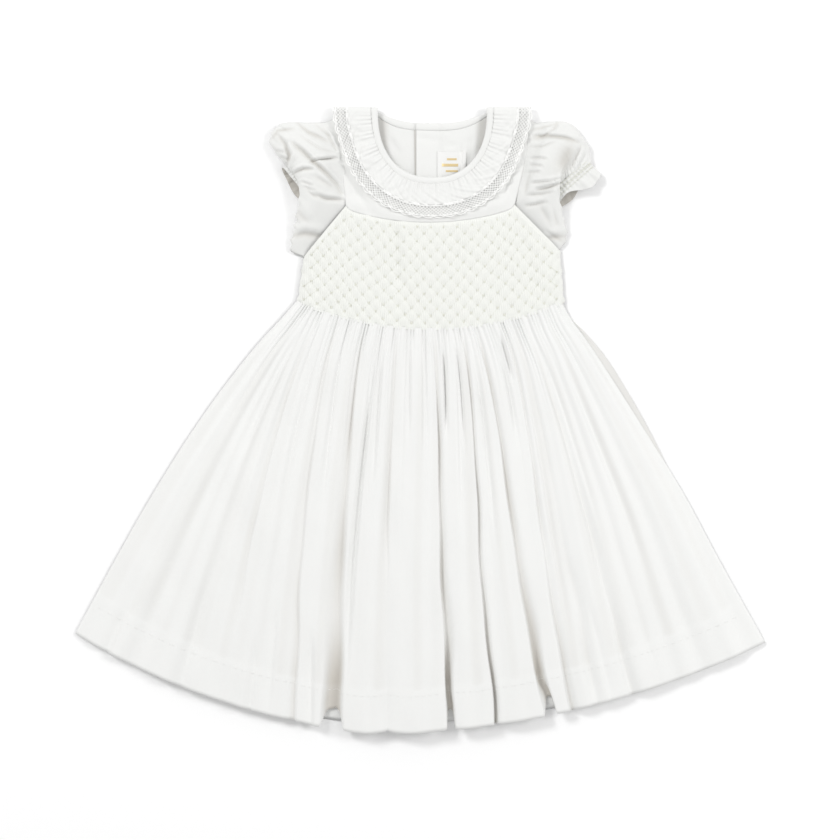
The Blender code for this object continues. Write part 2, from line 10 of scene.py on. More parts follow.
import bpy
import numpy as np
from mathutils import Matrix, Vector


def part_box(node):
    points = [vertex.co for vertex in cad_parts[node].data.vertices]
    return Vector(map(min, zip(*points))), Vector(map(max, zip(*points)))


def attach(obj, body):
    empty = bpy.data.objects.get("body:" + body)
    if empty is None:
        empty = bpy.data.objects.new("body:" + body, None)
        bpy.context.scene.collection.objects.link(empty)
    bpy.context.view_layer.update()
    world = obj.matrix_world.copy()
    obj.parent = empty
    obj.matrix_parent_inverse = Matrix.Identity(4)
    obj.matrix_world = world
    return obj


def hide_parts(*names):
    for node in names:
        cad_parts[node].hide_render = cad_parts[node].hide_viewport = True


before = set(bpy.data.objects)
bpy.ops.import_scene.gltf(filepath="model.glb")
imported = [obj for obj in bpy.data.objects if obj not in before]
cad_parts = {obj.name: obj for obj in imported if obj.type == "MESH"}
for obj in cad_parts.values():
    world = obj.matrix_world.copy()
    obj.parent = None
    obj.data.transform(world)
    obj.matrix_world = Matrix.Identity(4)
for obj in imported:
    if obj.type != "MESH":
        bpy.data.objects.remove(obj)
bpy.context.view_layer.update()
MM = 0.001
print("solid pieces to cover:", len(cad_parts))

# %% [markdown]
# The dress lies on its back on a white sheet of card and is seen from straight above. A
# camera close by would show the sides leaning outwards, so a long lens looks down from high
# up. The card is one large square, a little below the cloth.

# %% Camera and card
VIEW_WIDTH = 777.0
LENS = 100.0
SENSOR = 36.0
FOCUS_HEIGHT = 10.0
CARD_COLOUR = (0.97, 0.97, 0.97, 1.0)
CARD_HALF = 9000.0
CARD_DROP = 0.2


def plain_material(name, colour, roughness):
    made = bpy.data.materials.new(name)
    made.use_nodes = True
    shader = made.node_tree.nodes["Principled BSDF"]
    shader.inputs["Base Color"].default_value = colour
    shader.inputs["Roughness"].default_value = roughness
    return made


def add_camera():
    lens = bpy.data.cameras.new("overhead_camera")
    lens.lens = LENS
    lens.sensor_width = SENSOR
    camera = bpy.data.objects.new("overhead_camera", lens)
    camera.location = (0.0, 0.0, (VIEW_WIDTH * LENS / SENSOR + FOCUS_HEIGHT) * MM)
    bpy.context.scene.collection.objects.link(camera)
    bpy.context.scene.camera = camera


def add_card():
    mesh = bpy.data.meshes.new("card")
    half = CARD_HALF * MM
    corners = [(-half, -half), (half, -half), (half, half), (-half, half)]
    mesh.from_pydata([(x, y, -CARD_DROP * MM) for x, y in corners], [], [(0, 1, 2, 3)])
    mesh.materials.append(plain_material("card", CARD_COLOUR, 0.9))
    card = bpy.data.objects.new("card", mesh)
    bpy.context.scene.collection.objects.link(card)


add_camera()
add_card()
print("camera height in mm:", round(bpy.context.scene.camera.location.z / MM))

# %% [markdown]
# White cloth on white card shows its folds only by their shade. Even light from all round
# would hide them, and one small lamp would make them harsh. So a pale room lights everything
# softly, a large lamp on the upper left is stronger, and a weaker one on the right keeps the
# shaded sides open.

# %% Light
ROOM_LIGHT = 0.66
Lamp = namedtuple("Lamp", "name place size power")
LAMPS = (
    Lamp("key_lamp", (-1700.0, 1500.0, 2200.0), 900.0, 36.0),
    Lamp("side_lamp", (1900.0, 500.0, 1700.0), 900.0, 20.0),
)


def add_lamp(row):
    light = bpy.data.lights.new(row.name, "AREA")
    light.shape = "DISK"
    light.size = row.size * MM
    light.energy = row.power
    lamp = bpy.data.objects.new(row.name, light)
    lamp.location = [v * MM for v in row.place]
    lamp.rotation_mode = "QUATERNION"
    lamp.rotation_quaternion = lamp.location.to_track_quat("Z", "Y")
    bpy.context.scene.collection.objects.link(lamp)


world = bpy.data.worlds.new("soft_room")
world.use_nodes = True
world.node_tree.nodes["Background"].inputs["Color"].default_value = (1.0, 1.0, 1.0, 1.0)
world.node_tree.nodes["Background"].inputs["Strength"].default_value = ROOM_LIGHT
bpy.context.scene.world = world
bpy.context.scene.view_settings.view_transform = "Standard"
for lamp_row in LAMPS:
    add_lamp(lamp_row)
print("lamps:", [row.name for row in LAMPS])

# %% [markdown]
# Cloth is mostly repeated small steps: ease in and out, read a table, shift along a line.
# These helpers work on whole arrays at once, so a sheet of eighty thousand points is quick.

# %% Small tools
def lerp(a, b, share):
    return a + (b - a) * share


def ease(share):
    share = np.clip(share, 0.0, 1.0)
    return share * share * (3.0 - 2.0 * share)


def hump(share, power):
    return np.maximum(np.sin(math.pi * np.clip(share, 0.0, 1.0)), 0.0) ** power


def column_of(rows, name):
    return np.array([getattr(row, name) for row in rows], float)


def read(rows, name, share):
    """A table's column at a share of the way, on a smooth curve through its rows."""
    at = column_of(rows, "share")
    value = column_of(rows, name)
    slope = np.gradient(value, at)
    share = np.clip(share, at[0], at[-1])
    low = np.clip(np.searchsorted(at, share, side="right") - 1, 0, len(at) - 2)
    gap = at[low + 1] - at[low]
    q = (share - at[low]) / gap
    start = (1.0 + 2.0 * q) * (1.0 - q) ** 2 * value[low]
    end = q * q * (3.0 - 2.0 * q) * value[low + 1]
    turn = q * (1.0 - q) ** 2 * slope[low] - q * q * (1.0 - q) * slope[low + 1]
    return start + end + turn * gap


def shares(count):
    return np.linspace(0.0, 1.0, count + 1)


def wander(x, seed, *pitches):
    """A slow irregular wave from -1 to 1: the same every run."""
    draws = np.random.default_rng(seed)
    total = np.zeros_like(np.asarray(x, float))
    for pitch in pitches:
        total = total + np.sin(2.0 * math.pi * x / pitch + draws.uniform(0.0, 6.3))
    return total / len(pitches)


print("eased quarter, half and whole:", ease(np.array([0.25, 0.5, 1.0])).round(2).tolist())


# %% [markdown]
# Cloth creases where something pulls: from a gathered cuff, from an armhole seam, between two
# pleats. Each row of a crease table is one soft trough, from one place to another, with its
# own depth and width. A trough has a low ridge beside it, where the cloth has to go.

# %% Creases placed one by one
Press = namedtuple("Press", "x y end_x end_y depth width")
RIDGE_SHARE = 0.45
RIDGE_AWAY = 1.9
RIDGE_WIDE = 1.2
PRESS_TAPER = 0.3


def pressed(x, y, rows):
    """How far the cloth at each place is pushed down (negative) or up by the creases."""
    total = np.zeros(np.broadcast(x, y).shape)
    for row in rows:
        along = np.array([row.end_x - row.x, row.end_y - row.y])
        length = math.hypot(*along)
        along = along / length
        forward = (x - row.x) * along[0] + (y - row.y) * along[1]
        aside = (y - row.y) * along[0] - (x - row.x) * along[1]
        taper = PRESS_TAPER * length
        ends = ease(forward / taper + 0.35) * ease((length - forward) / taper + 0.35)
        trough = np.exp(-((aside / row.width) ** 2))
        ridge = np.exp(-(((aside - RIDGE_AWAY * row.width) / (RIDGE_WIDE * row.width)) ** 2))
        total -= row.depth * ends * (trough - RIDGE_SHARE * ridge)
    return total


try_press = pressed(np.array([5.0, 5.0]), np.array([0.0, 4.0]), [Press(0.0, 0.0, 10.0, 0.0, 1.0, 2.0)])
print("in a 1 mm crease and on its ridge:", try_press.round(2).tolist(), "mm")


# %% [markdown]
# The long drag lines of a puff sleeve bend on their way. Each row here is a trough along a
# path of several places, tapered at both ends, with its ridge on the path's left.

# %% Creases that bend
Crease = namedtuple("Crease", "depth width path")


def creased(x, y, rows):
    """How far the cloth is pushed down (negative) or up by creases along paths."""
    total = np.zeros(np.broadcast(x, y).shape)
    for row in rows:
        path = np.array(row.path)
        steps = np.diff(path, axis=0)
        lengths = np.hypot(steps[:, 0], steps[:, 1])
        run = np.concatenate([[0.0], np.cumsum(lengths)])
        nearest = np.full(total.shape, 1e6)
        aside = np.zeros(total.shape)
        along = np.zeros(total.shape)
        for start, step, length, before in zip(path, steps, lengths, run):
            forward = (x - start[0]) * step[0] + (y - start[1]) * step[1]
            share = np.clip(forward / length**2, 0.0, 1.0)
            off_x = x - start[0] - share * step[0]
            off_y = y - start[1] - share * step[1]
            closer = np.hypot(off_x, off_y) < nearest
            nearest = np.where(closer, np.hypot(off_x, off_y), nearest)
            aside = np.where(closer, off_y * step[0] - off_x * step[1], aside)
            along = np.where(closer, (before + share * length) / run[-1], along)
        taper = hump(0.04 + 0.92 * along, 0.45)
        q = nearest / row.width
        ridge = np.exp(-(((q - RIDGE_AWAY) / RIDGE_WIDE) ** 2)) * ease(q) * (aside > 0.0)
        total -= row.depth * taper * (np.exp(-(q**1.6)) - RIDGE_SHARE * ridge)
    return total


bend = Crease(1.0, 2.0, ((0.0, 0.0), (5.0, 5.0), (9.0, 5.0)))
try_bend = creased(np.array([5.0]), np.array([5.0]), [bend])
print("at the bend of a 1 mm crease:", try_bend.round(2).tolist(), "mm")


# %% [markdown]
# A sheet of cloth is a grid of points. The grid becomes quads, and a Solidify modifier can
# give it a second side. A float attribute named tone travels with the points: the finish
# reads it for painted shade, warm and darker, in a deep crease, and a lighter doubled hem.

# %% Sheets of cloth
def finish_object(name, mesh, finish, smooth=True):
    mesh.materials.append(finish)
    piece = bpy.data.objects.new(name, mesh)
    bpy.context.scene.collection.objects.link(piece)
    if smooth:
        mesh.shade_smooth()
    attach(piece, "root")
    return piece


def sheet_of_cloth(name, grid, finish, wall=0.0, ring=False, tone=None):
    rows, columns = grid.shape[:2]
    index = np.arange(rows * columns).reshape(rows, columns)
    if ring:
        index = np.hstack([index, index[:, :1]])
    corners = (index[:-1, :-1], index[1:, :-1], index[1:, 1:], index[:-1, 1:])
    faces = np.stack(corners, axis=-1).reshape(-1, 4)
    mesh = bpy.data.meshes.new(name)
    mesh.from_pydata((grid.reshape(-1, 3) * MM).tolist(), [], faces.tolist())
    if tone is not None:
        layer = mesh.attributes.new("tone", "FLOAT", "POINT")
        layer.data.foreach_set("value", np.asarray(tone, np.float32).ravel())
    piece = finish_object(name, mesh, finish)
    if wall:
        shell = piece.modifiers.new("cloth_wall", "SOLIDIFY")
        shell.thickness = wall * MM
        shell.offset = 0.0
    sides = 2 if wall else 1
    print(f"{name}: {2 * sides * len(faces)} triangles, {np.ptp(grid[..., 2]):.1f} mm high")
    return piece


# %% [markdown]
# Stitches, thread and lace are strands. A curve with a round bevel would do for one strand,
# but hundreds would be hundreds of objects, so the tubes of many strands go into one mesh. A
# flat strand keeps its flat faces, so that its top takes the light.

# %% Strands
def strand_mesh(name, lines, radius, sides, flatness=1.0):
    """Round strands along lines of points, all in one mesh."""
    lines = np.asarray(lines, float)
    count, steps = lines.shape[:2]
    forward = np.gradient(lines, axis=1)
    forward /= np.linalg.norm(forward, axis=2, keepdims=True)
    side = np.cross(forward, (0.0, 0.0, 1.0))
    side /= np.maximum(np.linalg.norm(side, axis=2, keepdims=True), 1e-6)
    up = np.cross(side, forward)
    turn = 2.0 * math.pi * np.arange(sides) / sides + math.pi / sides
    radius = np.broadcast_to(radius, (count, steps))[..., None, None]
    ring = side[:, :, None] * np.cos(turn)[:, None] + flatness * up[:, :, None] * np.sin(turn)[:, None]
    points = lines[:, :, None] + radius * ring
    index = np.arange(count * steps * sides).reshape(count, steps, sides)
    after = np.roll(index, -1, axis=2)
    walls = np.stack([index[:, :-1], after[:, :-1], after[:, 1:], index[:, 1:]], axis=-1)
    faces = walls.reshape(-1, 4).tolist()
    faces += index[:, 0, ::-1].tolist() + index[:, -1].tolist()
    mesh = bpy.data.meshes.new(name)
    mesh.from_pydata((points.reshape(-1, 3) * MM).tolist(), [], faces)
    return mesh


def strands(name, lines, radius, sides, finish, flatness=1.0):
    """Strands as one piece, smooth where they are round."""
    mesh = strand_mesh(name, lines, radius, sides, flatness)
    print(f"{name}: {len(lines)} strands, {len(mesh.polygons)} faces")
    return finish_object(name, mesh, finish, flatness > 0.6)


# %% [markdown]
# Fine cotton is a plain weave. Its threads, about two to the millimetre, are too fine to
# model, so two crossed waves in the bump stand for them, with a slow noise for slubs. The
# tone that travels with the points runs through a ramp: painted shade, warm and darker, in a
# deep crease, the cloth's own colour in the middle, and lighter where the cloth is double.

# %% Weave and tone
THREAD_SCALE = 1.0 / 0.42
SLUB_SCALE = 0.35
# The colour of painted shade in deep creases.
PAINTED_SHADE_TINT = (0.66, 0.62, 0.57)
LIGHT_TINT = (1.04, 1.04, 1.04)


def link(tree, source, output, target, socket):
    tree.links.new(source.outputs[output], target.inputs[socket])


def scaled_place(tree):
    """The place on the piece in millimetres, as texture coordinates."""
    place = tree.nodes.new("ShaderNodeTexCoord")
    scale = tree.nodes.new("ShaderNodeMapping")
    scale.inputs["Scale"].default_value = (1000.0, 1000.0, 1000.0)
    link(tree, place, "Object", scale, "Vector")
    return scale


def noise_of(tree, place, scale, detail=2.0):
    noise = tree.nodes.new("ShaderNodeTexNoise")
    noise.inputs["Scale"].default_value = scale
    noise.inputs["Detail"].default_value = detail
    link(tree, place, "Vector", noise, "Vector")
    return noise


def weave_height(tree, place):
    """Two crossed thread waves and a soft slub noise, added into one height."""
    total = None
    for direction in ("X", "Y"):
        wave = tree.nodes.new("ShaderNodeTexWave")
        wave.bands_direction = direction
        wave.inputs["Scale"].default_value = THREAD_SCALE
        wave.inputs["Distortion"].default_value = 0.6
        link(tree, place, "Vector", wave, "Vector")
        if total is None:
            total = wave
            continue
        added = tree.nodes.new("ShaderNodeMath")
        added.operation = "MAXIMUM"
        link(tree, total, "Fac", added, 0)
        link(tree, wave, "Fac", added, 1)
        total = added
    slub = noise_of(tree, place, SLUB_SCALE)
    both = tree.nodes.new("ShaderNodeMath")
    both.operation = "ADD"
    link(tree, total, "Value", both, 0)
    link(tree, slub, "Fac", both, 1)
    return both


def tone_ramp(tree, colour):
    """From the painted shade tint through the cloth's own colour to the light one."""
    tone = tree.nodes.new("ShaderNodeAttribute")
    tone.attribute_name = "tone"
    span = tree.nodes.new("ShaderNodeMapRange")
    span.inputs["From Min"].default_value = -1.0
    span.inputs["From Max"].default_value = 1.0
    link(tree, tone, "Fac", span, "Value")
    ramp = tree.nodes.new("ShaderNodeValToRGB")
    shade_colour = [c * d for c, d in zip(colour, PAINTED_SHADE_TINT)]
    light = [min(c * d, 1.0) for c, d in zip(colour, LIGHT_TINT)]
    ramp.color_ramp.elements[0].color = (*shade_colour, 1.0)
    ramp.color_ramp.elements[1].color = (*light, 1.0)
    middle = ramp.color_ramp.elements.new(0.5)
    middle.color = (*colour, 1.0)
    link(tree, span, "Result", ramp, "Fac")
    return ramp


print("threads to the millimetre:", round(THREAD_SCALE, 1))

# %% [markdown]
# Washed cotton has a faint sheen and is never one even white: a large, soft cloud of tone
# lies under everything. Each finish is the same small tree with its own colour. Sheen and
# roughness are plain numbers on the shader, so that they survive an export.

# %% Cloth finishes
SHEEN_ROUGHNESS = 0.5
SPECULAR = 0.35
CLOUD_SCALE = 0.03
THREAD_RELIEF = 0.05


def cloth_finish(name, colour, roughness, sheen, bump, mottle=0.03):
    made = bpy.data.materials.new(name)
    made.use_nodes = True
    tree = made.node_tree
    shader = tree.nodes["Principled BSDF"]
    shader.inputs["Roughness"].default_value = roughness
    shader.inputs["Sheen Weight"].default_value = sheen
    shader.inputs["Sheen Roughness"].default_value = SHEEN_ROUGHNESS
    shader.inputs["Specular IOR Level"].default_value = SPECULAR
    place = scaled_place(tree)
    ramp = tone_ramp(tree, colour)
    cloud = noise_of(tree, place, CLOUD_SCALE, 3.0)
    span = tree.nodes.new("ShaderNodeMapRange")
    span.inputs["To Min"].default_value = 1.0 - mottle
    span.inputs["To Max"].default_value = 1.0
    link(tree, cloud, "Fac", span, "Value")
    mix = tree.nodes.new("ShaderNodeMix")
    mix.data_type = "RGBA"
    mix.blend_type = "MULTIPLY"
    mix.inputs["Factor"].default_value = 1.0
    tree.links.new(ramp.outputs["Color"], mix.inputs["A"])
    tree.links.new(span.outputs["Result"], mix.inputs["B"])
    tree.links.new(mix.outputs["Result"], shader.inputs["Base Color"])
    height = weave_height(tree, place)
    relief = tree.nodes.new("ShaderNodeBump")
    relief.inputs["Strength"].default_value = bump
    relief.inputs["Distance"].default_value = THREAD_RELIEF * MM
    link(tree, height, "Value", relief, "Height")
    link(tree, relief, "Normal", shader, "Normal")
    return made


cotton = cloth_finish("white_cotton", (0.855, 0.857, 0.843), 0.55, 0.08, 0.5)
bodice_cotton = cloth_finish("bodice_cotton", (0.825, 0.827, 0.81), 0.55, 0.08, 0.5)
# Sleeves and cuffs: the same cotton a little darker, as painted shade for cloth that stands off the card.
shaded_puff_cotton = cloth_finish("shaded_puff_cotton", (0.80, 0.803, 0.785), 0.55, 0.08, 0.5)
smocked_cotton = cloth_finish("smocked_cotton", (0.848, 0.855, 0.818), 0.6, 0.08, 0.5)
lace_cotton = cloth_finish("lace_cotton", (0.93, 0.93, 0.915), 0.7, 0.05, 0.3)
ivory_thread = cloth_finish("ivory_thread", (0.80, 0.805, 0.72), 0.5, 0.1, 0.3)
white_thread = cloth_finish("white_thread", (0.88, 0.88, 0.865), 0.45, 0.1, 0.3)
satin = cloth_finish("label_satin", (0.84, 0.84, 0.825), 0.4, 0.1, 0.2)
print("cloth finishes:", len([m for m in bpy.data.materials if m.use_nodes]) - 1)

# %% [markdown]
# The skirt is cut as one wide rectangle and gathered to a third of its width by the smocking,
# so its pleats start narrow at the chest and fan out to the hem. Each row of the table is one
# valley between two pleats: where it leaves the chest, where it meets the hem, how deep it
# cuts (1 reaches the back layer), how wide it opens, which way a pleat's edge leans over it,
# and the height and hem drop of the pleat on its right. A second table holds shorter folds,
# from one share of the way down to another, with their depth in millimetres.

# %% Pleat table
Valley = namedtuple("Valley", "waist hem height drop depth top_width hem_width lean until")
VALLEYS = (
    Valley(-114.0, -320.0, 2.5, 0.0, 0.0, 3.0, 8.0, 0.0, 1.2),
    Valley(-104.0, -270.0, 5.0, 0.0, 0.45, 2.6, 7.0, 0.0, 0.93),
    Valley(-92.0, -183.0, 6.5, 0.0, 0.55, 2.2, 5.0, 1.0, 0.86),
    Valley(-74.0, -118.0, 7.0, 1.0, 0.6, 1.8, 4.6, 1.0, 1.2),
    Valley(-49.0, -78.0, 9.5, 4.0, 1.0, 2.0, 11.5, 1.2, 1.2),
    Valley(-20.0, -30.0, 12.0, 4.4, 0.55, 1.6, 4.5, 0.8, 0.66),
    Valley(13.0, 28.0, 12.0, 1.5, 1.0, 1.8, 4.6, -1.8, 1.2),
    Valley(38.0, 69.3, 10.5, 1.0, 0.9, 1.5, 2.7, -1.4, 1.2),
    Valley(50.0, 117.0, 9.0, 0.0, 1.0, 1.5, 6.0, -1.5, 1.2),
    Valley(75.0, 140.0, 7.5, 0.0, 0.7, 1.7, 3.6, -1.0, 1.2),
    Valley(84.0, 164.0, 6.5, 0.0, 0.5, 1.7, 4.0, 0.0, 1.1),
    Valley(95.0, 198.0, 5.5, 0.0, 0.5, 2.0, 5.0, -0.8, 1.2),
    Valley(107.0, 224.0, 4.5, 0.0, 0.4, 2.2, 5.6, 0.0, 1.0),
    Valley(120.0, 264.0, 3.5, 0.0, 0.3, 2.4, 7.0, 0.0, 1.0),
    Valley(134.0, 320.5, 3.0, 0.0, 0.0, 2.6, 9.0, 0.0, 1.2),
)
Short = namedtuple("Short", "waist hem start end depth width")
SHORTS = (
    Short(-35.0, -69.0, 0.03, 0.95, 5.4, 2.8),
    Short(-65.0, -98.0, 0.02, 0.5, 2.2, 2.6),
    Short(-84.0, -150.0, 0.03, 0.55, 2.2, 3.0),
    Short(-98.0, -232.0, 0.04, 0.42, 2.0, 3.4),
    Short(-108.0, -300.0, 0.05, 0.5, 1.2, 4.0),
    Short(-30.0, -50.0, 0.03, 0.42, 2.6, 2.4),
    Short(-8.0, -8.0, 0.02, 0.3, 2.2, 2.2),
    Short(3.0, 8.0, 0.02, 0.38, 1.8, 2.4),
    Short(20.0, 31.0, 0.03, 0.3, 5.0, 1.9),
    Short(30.0, 48.0, 0.04, 0.55, 2.2, 2.8),
    Short(31.0, 58.0, 0.01, 0.36, 3.0, 1.5),
    Short(43.0, 92.0, 0.06, 0.6, 2.4, 2.4),
    Short(69.0, 132.0, 0.02, 0.17, 4.4, 1.7),
    Short(64.0, 130.0, 0.05, 0.34, 3.0, 1.8),
    Short(79.5, 152.0, 0.05, 0.9, 1.8, 2.4),
    Short(101.0, 210.0, 0.06, 0.65, 1.8, 2.6),
    Short(113.0, 245.0, 0.1, 0.8, 1.6, 3.2),
    Short(-110.0, -290.0, 0.86, 1.1, 2.2, 3.0),
    Short(-99.0, -221.0, 0.66, 1.1, 2.0, 4.0),
    Short(-88.0, -158.0, 0.8, 1.1, 2.0, 3.4),
    Short(-82.0, -141.0, 0.7, 1.05, 1.8, 3.6),
    Short(-71.0, -101.0, 0.75, 1.1, 2.2, 3.0),
    Short(89.0, 178.0, 0.72, 1.1, 1.8, 3.2),
    Short(-2.0, -2.0, 0.6, 1.0, 0.9, 7.0),
)
WAIST_LEFT = VALLEYS[0].waist
WAIST_RIGHT = VALLEYS[-1].waist
print("pleats:", len(VALLEYS) - 1, "short folds:", len(SHORTS))

# %% [markdown]
# The sides of the skirt bow outwards a little. On the right the front layer has slid inwards
# from the back one, so a strip of the back shows beside it. These are columns of one table,
# read by the share of the way from chest to hem.

# %% Outline of the skirt
Bow = namedtuple("Bow", "share left right slid_left slid_right")
BOWS = (
    Bow(0.0, 0.0, 0.0, 0.0, 3.0),
    Bow(0.06, 7.5, 8.0, 3.4, 11.5),
    Bow(0.1, 10.5, 11.5, 3.0, 13.0),
    Bow(0.25, 14.5, 14.0, 0.0, 12.0),
    Bow(0.4, 16.5, 11.0, 0.0, 7.0),
    Bow(0.55, 15.0, 5.5, 0.0, 0.0),
    Bow(0.75, 9.5, 2.5, 0.0, 0.0),
    Bow(1.0, 0.0, 0.0, 0.0, 0.0),
)
WAIST_SIDE_Y = 109.0
WAIST_SAG = 26.0
BACK_WAIST_Y = 99.7
HEM_X = -20.0
HEM_Y = -286.5
HEM_LEFT_CURVE = 0.00098
HEM_RIGHT_CURVE = 0.00069
BACK_HEM_SHORT = 5.0
HEM_DEPTH = 38.0


def waist_y(x):
    share = (x - WAIST_LEFT) / (WAIST_RIGHT - WAIST_LEFT)
    return WAIST_SIDE_Y - WAIST_SAG * hump(share, 0.8)


def hem_y(x):
    away = x - HEM_X
    return HEM_Y + np.where(away < 0.0, HEM_LEFT_CURVE, HEM_RIGHT_CURVE) * away * away


def skirt_x(waist_x, hem_x, share, front):
    across = (waist_x - WAIST_LEFT) / (WAIST_RIGHT - WAIST_LEFT)
    bow = read(BOWS, "right", share) * across**2 - read(BOWS, "left", share) * (1.0 - across) ** 2
    x = lerp(waist_x, hem_x, share) + bow
    if front:
        x = x - read(BOWS, "slid_right", share) * ease((across - 0.72) / 0.28)
        x = x + read(BOWS, "slid_left", share) * ease((0.28 - across) / 0.28)
    return x


def hem_x_of(waist_x):
    return np.interp(waist_x, column_of(VALLEYS, "waist"), column_of(VALLEYS, "hem"))


print("chest and hem, mm wide:", WAIST_RIGHT - WAIST_LEFT, VALLEYS[-1].hem - VALLEYS[0].hem)

# %% [markdown]
# A pleat is a rounded swell between two valleys. Modelling each pleat as its own strip would
# leave joins to hide, so a product of soft notches carves the valleys out of one swell. A
# pleat's edge that leans hides part of its valley. A valley of depth 1 opens into a gap at
# the hem, with steep sides. The columns crowd together at the valleys, where cloth turns
# quickly.

# %% Shape of the pleats
MIDWAY_DEPTH = 0.68
STEEP_BANK = 0.6
SOFT_BANK = 1.5
GAP_RISE = 17.0
CROWD_STEPS = 4000


def crowded_columns(count):
    waist = np.linspace(WAIST_LEFT, WAIST_RIGHT, CROWD_STEPS)
    crowd = np.ones_like(waist)
    spread = np.gradient(hem_x_of(waist), waist)
    for row in VALLEYS:
        crowd += 2.2 * row.depth * np.exp(-(((waist - row.waist) / 1.6) ** 2)) * 2.6 / spread
    crowd *= spread**0.6
    total = np.cumsum(crowd)
    return np.interp(np.linspace(total[0], total[-1], count), total, waist)


def swell_height(waist, share):
    """Height of the pleats' tops over the valleys' floor."""
    middles = [(a.waist + b.waist) / 2.0 for a, b in zip(VALLEYS, VALLEYS[1:])]
    heights = [row.height for row in VALLEYS[:-1]]
    top = np.interp(waist, [WAIST_LEFT, *middles, WAIST_RIGHT], [1.0, *heights, 1.5])
    return lerp(2.4, top, share**0.8)


def valley_profile(x, share):
    """Share of the swell that stands at each point, and the sideways lean."""
    stands = np.ones_like(x)
    lean = np.zeros_like(x)
    rise = np.zeros_like(x)
    for row in VALLEYS:
        here = skirt_x(row.waist, row.hem, share, True)
        seed = int(row.hem) + 900
        here = here + 2.2 * wander(share * 400.0, seed, 290.0, 170.0, 95.0) * share
        width = lerp(row.top_width, row.hem_width, share**1.6)
        fade = ease(share / 0.05) * ease((row.until - share) / 0.18)
        midway = MIDWAY_DEPTH + 0.12 * wander(share * 400.0, seed, 130.0)
        deepen = lerp(midway, 1.0, ease((share - 0.72) / 0.2))
        edge = np.sign(row.lean) * (x - here) / width
        open_bank = lerp(SOFT_BANK, 1.0, ease((share - 0.72) / 0.2) * row.depth)
        bank = np.where(edge > 0.0, STEEP_BANK, open_bank)
        square = 2.0 + 3.0 * ease((share - 0.7) / 0.25) * (row.depth == 1.0)
        notch = np.exp(-(np.abs(x - here) / (width * bank)) ** square)
        stands *= 1.0 - row.depth * deepen * fade * notch
        lean -= row.lean * fade * ease(share / 0.3) * np.exp(-((edge - 1.3) ** 2) / 0.5)
        if row.depth == 1.0:
            rise += fade * notch * GAP_RISE * ease((share - 0.9) / 0.1)
    return stands, lean, rise


open_gaps = [row.hem for row in VALLEYS if row.depth == 1.0]
print("gaps at the hem, mm from the middle:", open_gaps)

# %% [markdown]
# Between the long valleys lie short folds, steep on one side and soft on the other, and right
# below the smocking the cloth stands in fine gathers. Even gathers would look machine made,
# so each one has its own depth and length, drawn once from a fixed seed.

# %% Short folds and gathers
SHORT_STEEP = 0.65
SHORT_SOFT = 1.4
GATHER_PITCH = 3.3


def short_folds(x, share):
    total = np.zeros_like(x)
    for row in SHORTS:
        here = skirt_x(row.waist, row.hem, share, True)
        width = row.width * lerp(0.7, 1.2, share)
        span = row.end - row.start
        fade = ease((share - row.start) / (0.3 * span)) * ease((row.end - share) / (0.45 * span))
        steep = (x - here) * (1.0 if row.waist < 0.0 else -1.0) > 0.0
        bank = np.where(steep, SHORT_STEEP, SHORT_SOFT)
        total -= row.depth * fade * np.exp(-(((x - here) / (width * bank)) ** 2.0))
    return total


def gathers(waist, share):
    """Fine uneven gathers that leave the smocking: each has its own depth and length."""
    place = waist / GATHER_PITCH + 0.8 * wander(waist, 5, 37.0, 61.0, 14.0)
    number = np.round(place).astype(int)
    draws = np.random.default_rng(8).uniform(0.0, 1.0, (2, 200))
    trough = np.exp(-(((place - number) / 0.24) ** 2))
    reach = lerp(0.05, 0.30, draws[0, number % 200] ** 2)
    return -lerp(0.7, 2.1, draws[1, number % 200]) * trough * np.exp(-((share / reach) ** 1.5))


print("gathers across the chest:", round((WAIST_RIGHT - WAIST_LEFT) / GATHER_PITCH))

# %% [markdown]
# The front of the skirt is one dense grid from the chest to the hem. Its sides roll down to
# meet the back. At the hem the grid turns under and runs back up inside, as the real hem is
# turned up: the last rows of the grid follow a short table of how far up and how far under.

# %% Front of the skirt
SKIRT_COLUMNS = 640
SKIRT_ROWS = 122
ROW_CROWD = 1.12
SKIRT_SIDE_LEVEL = 1.9
WAIST_LEVEL = 8.2
HEM_LEVEL = 3.9
VALLEY_FLOOR = 3.3
VALLEY_PRESS = 0.15
HEM_BAND = 0.35
TurnUp = namedtuple("TurnUp", "share under")
TURN_UP = (
    TurnUp(1.0, 0.45),
    TurnUp(0.995, 0.8),
    TurnUp(0.96, 0.8),
    TurnUp(0.93, 0.75),
    TurnUp(0.905, 0.7),
)


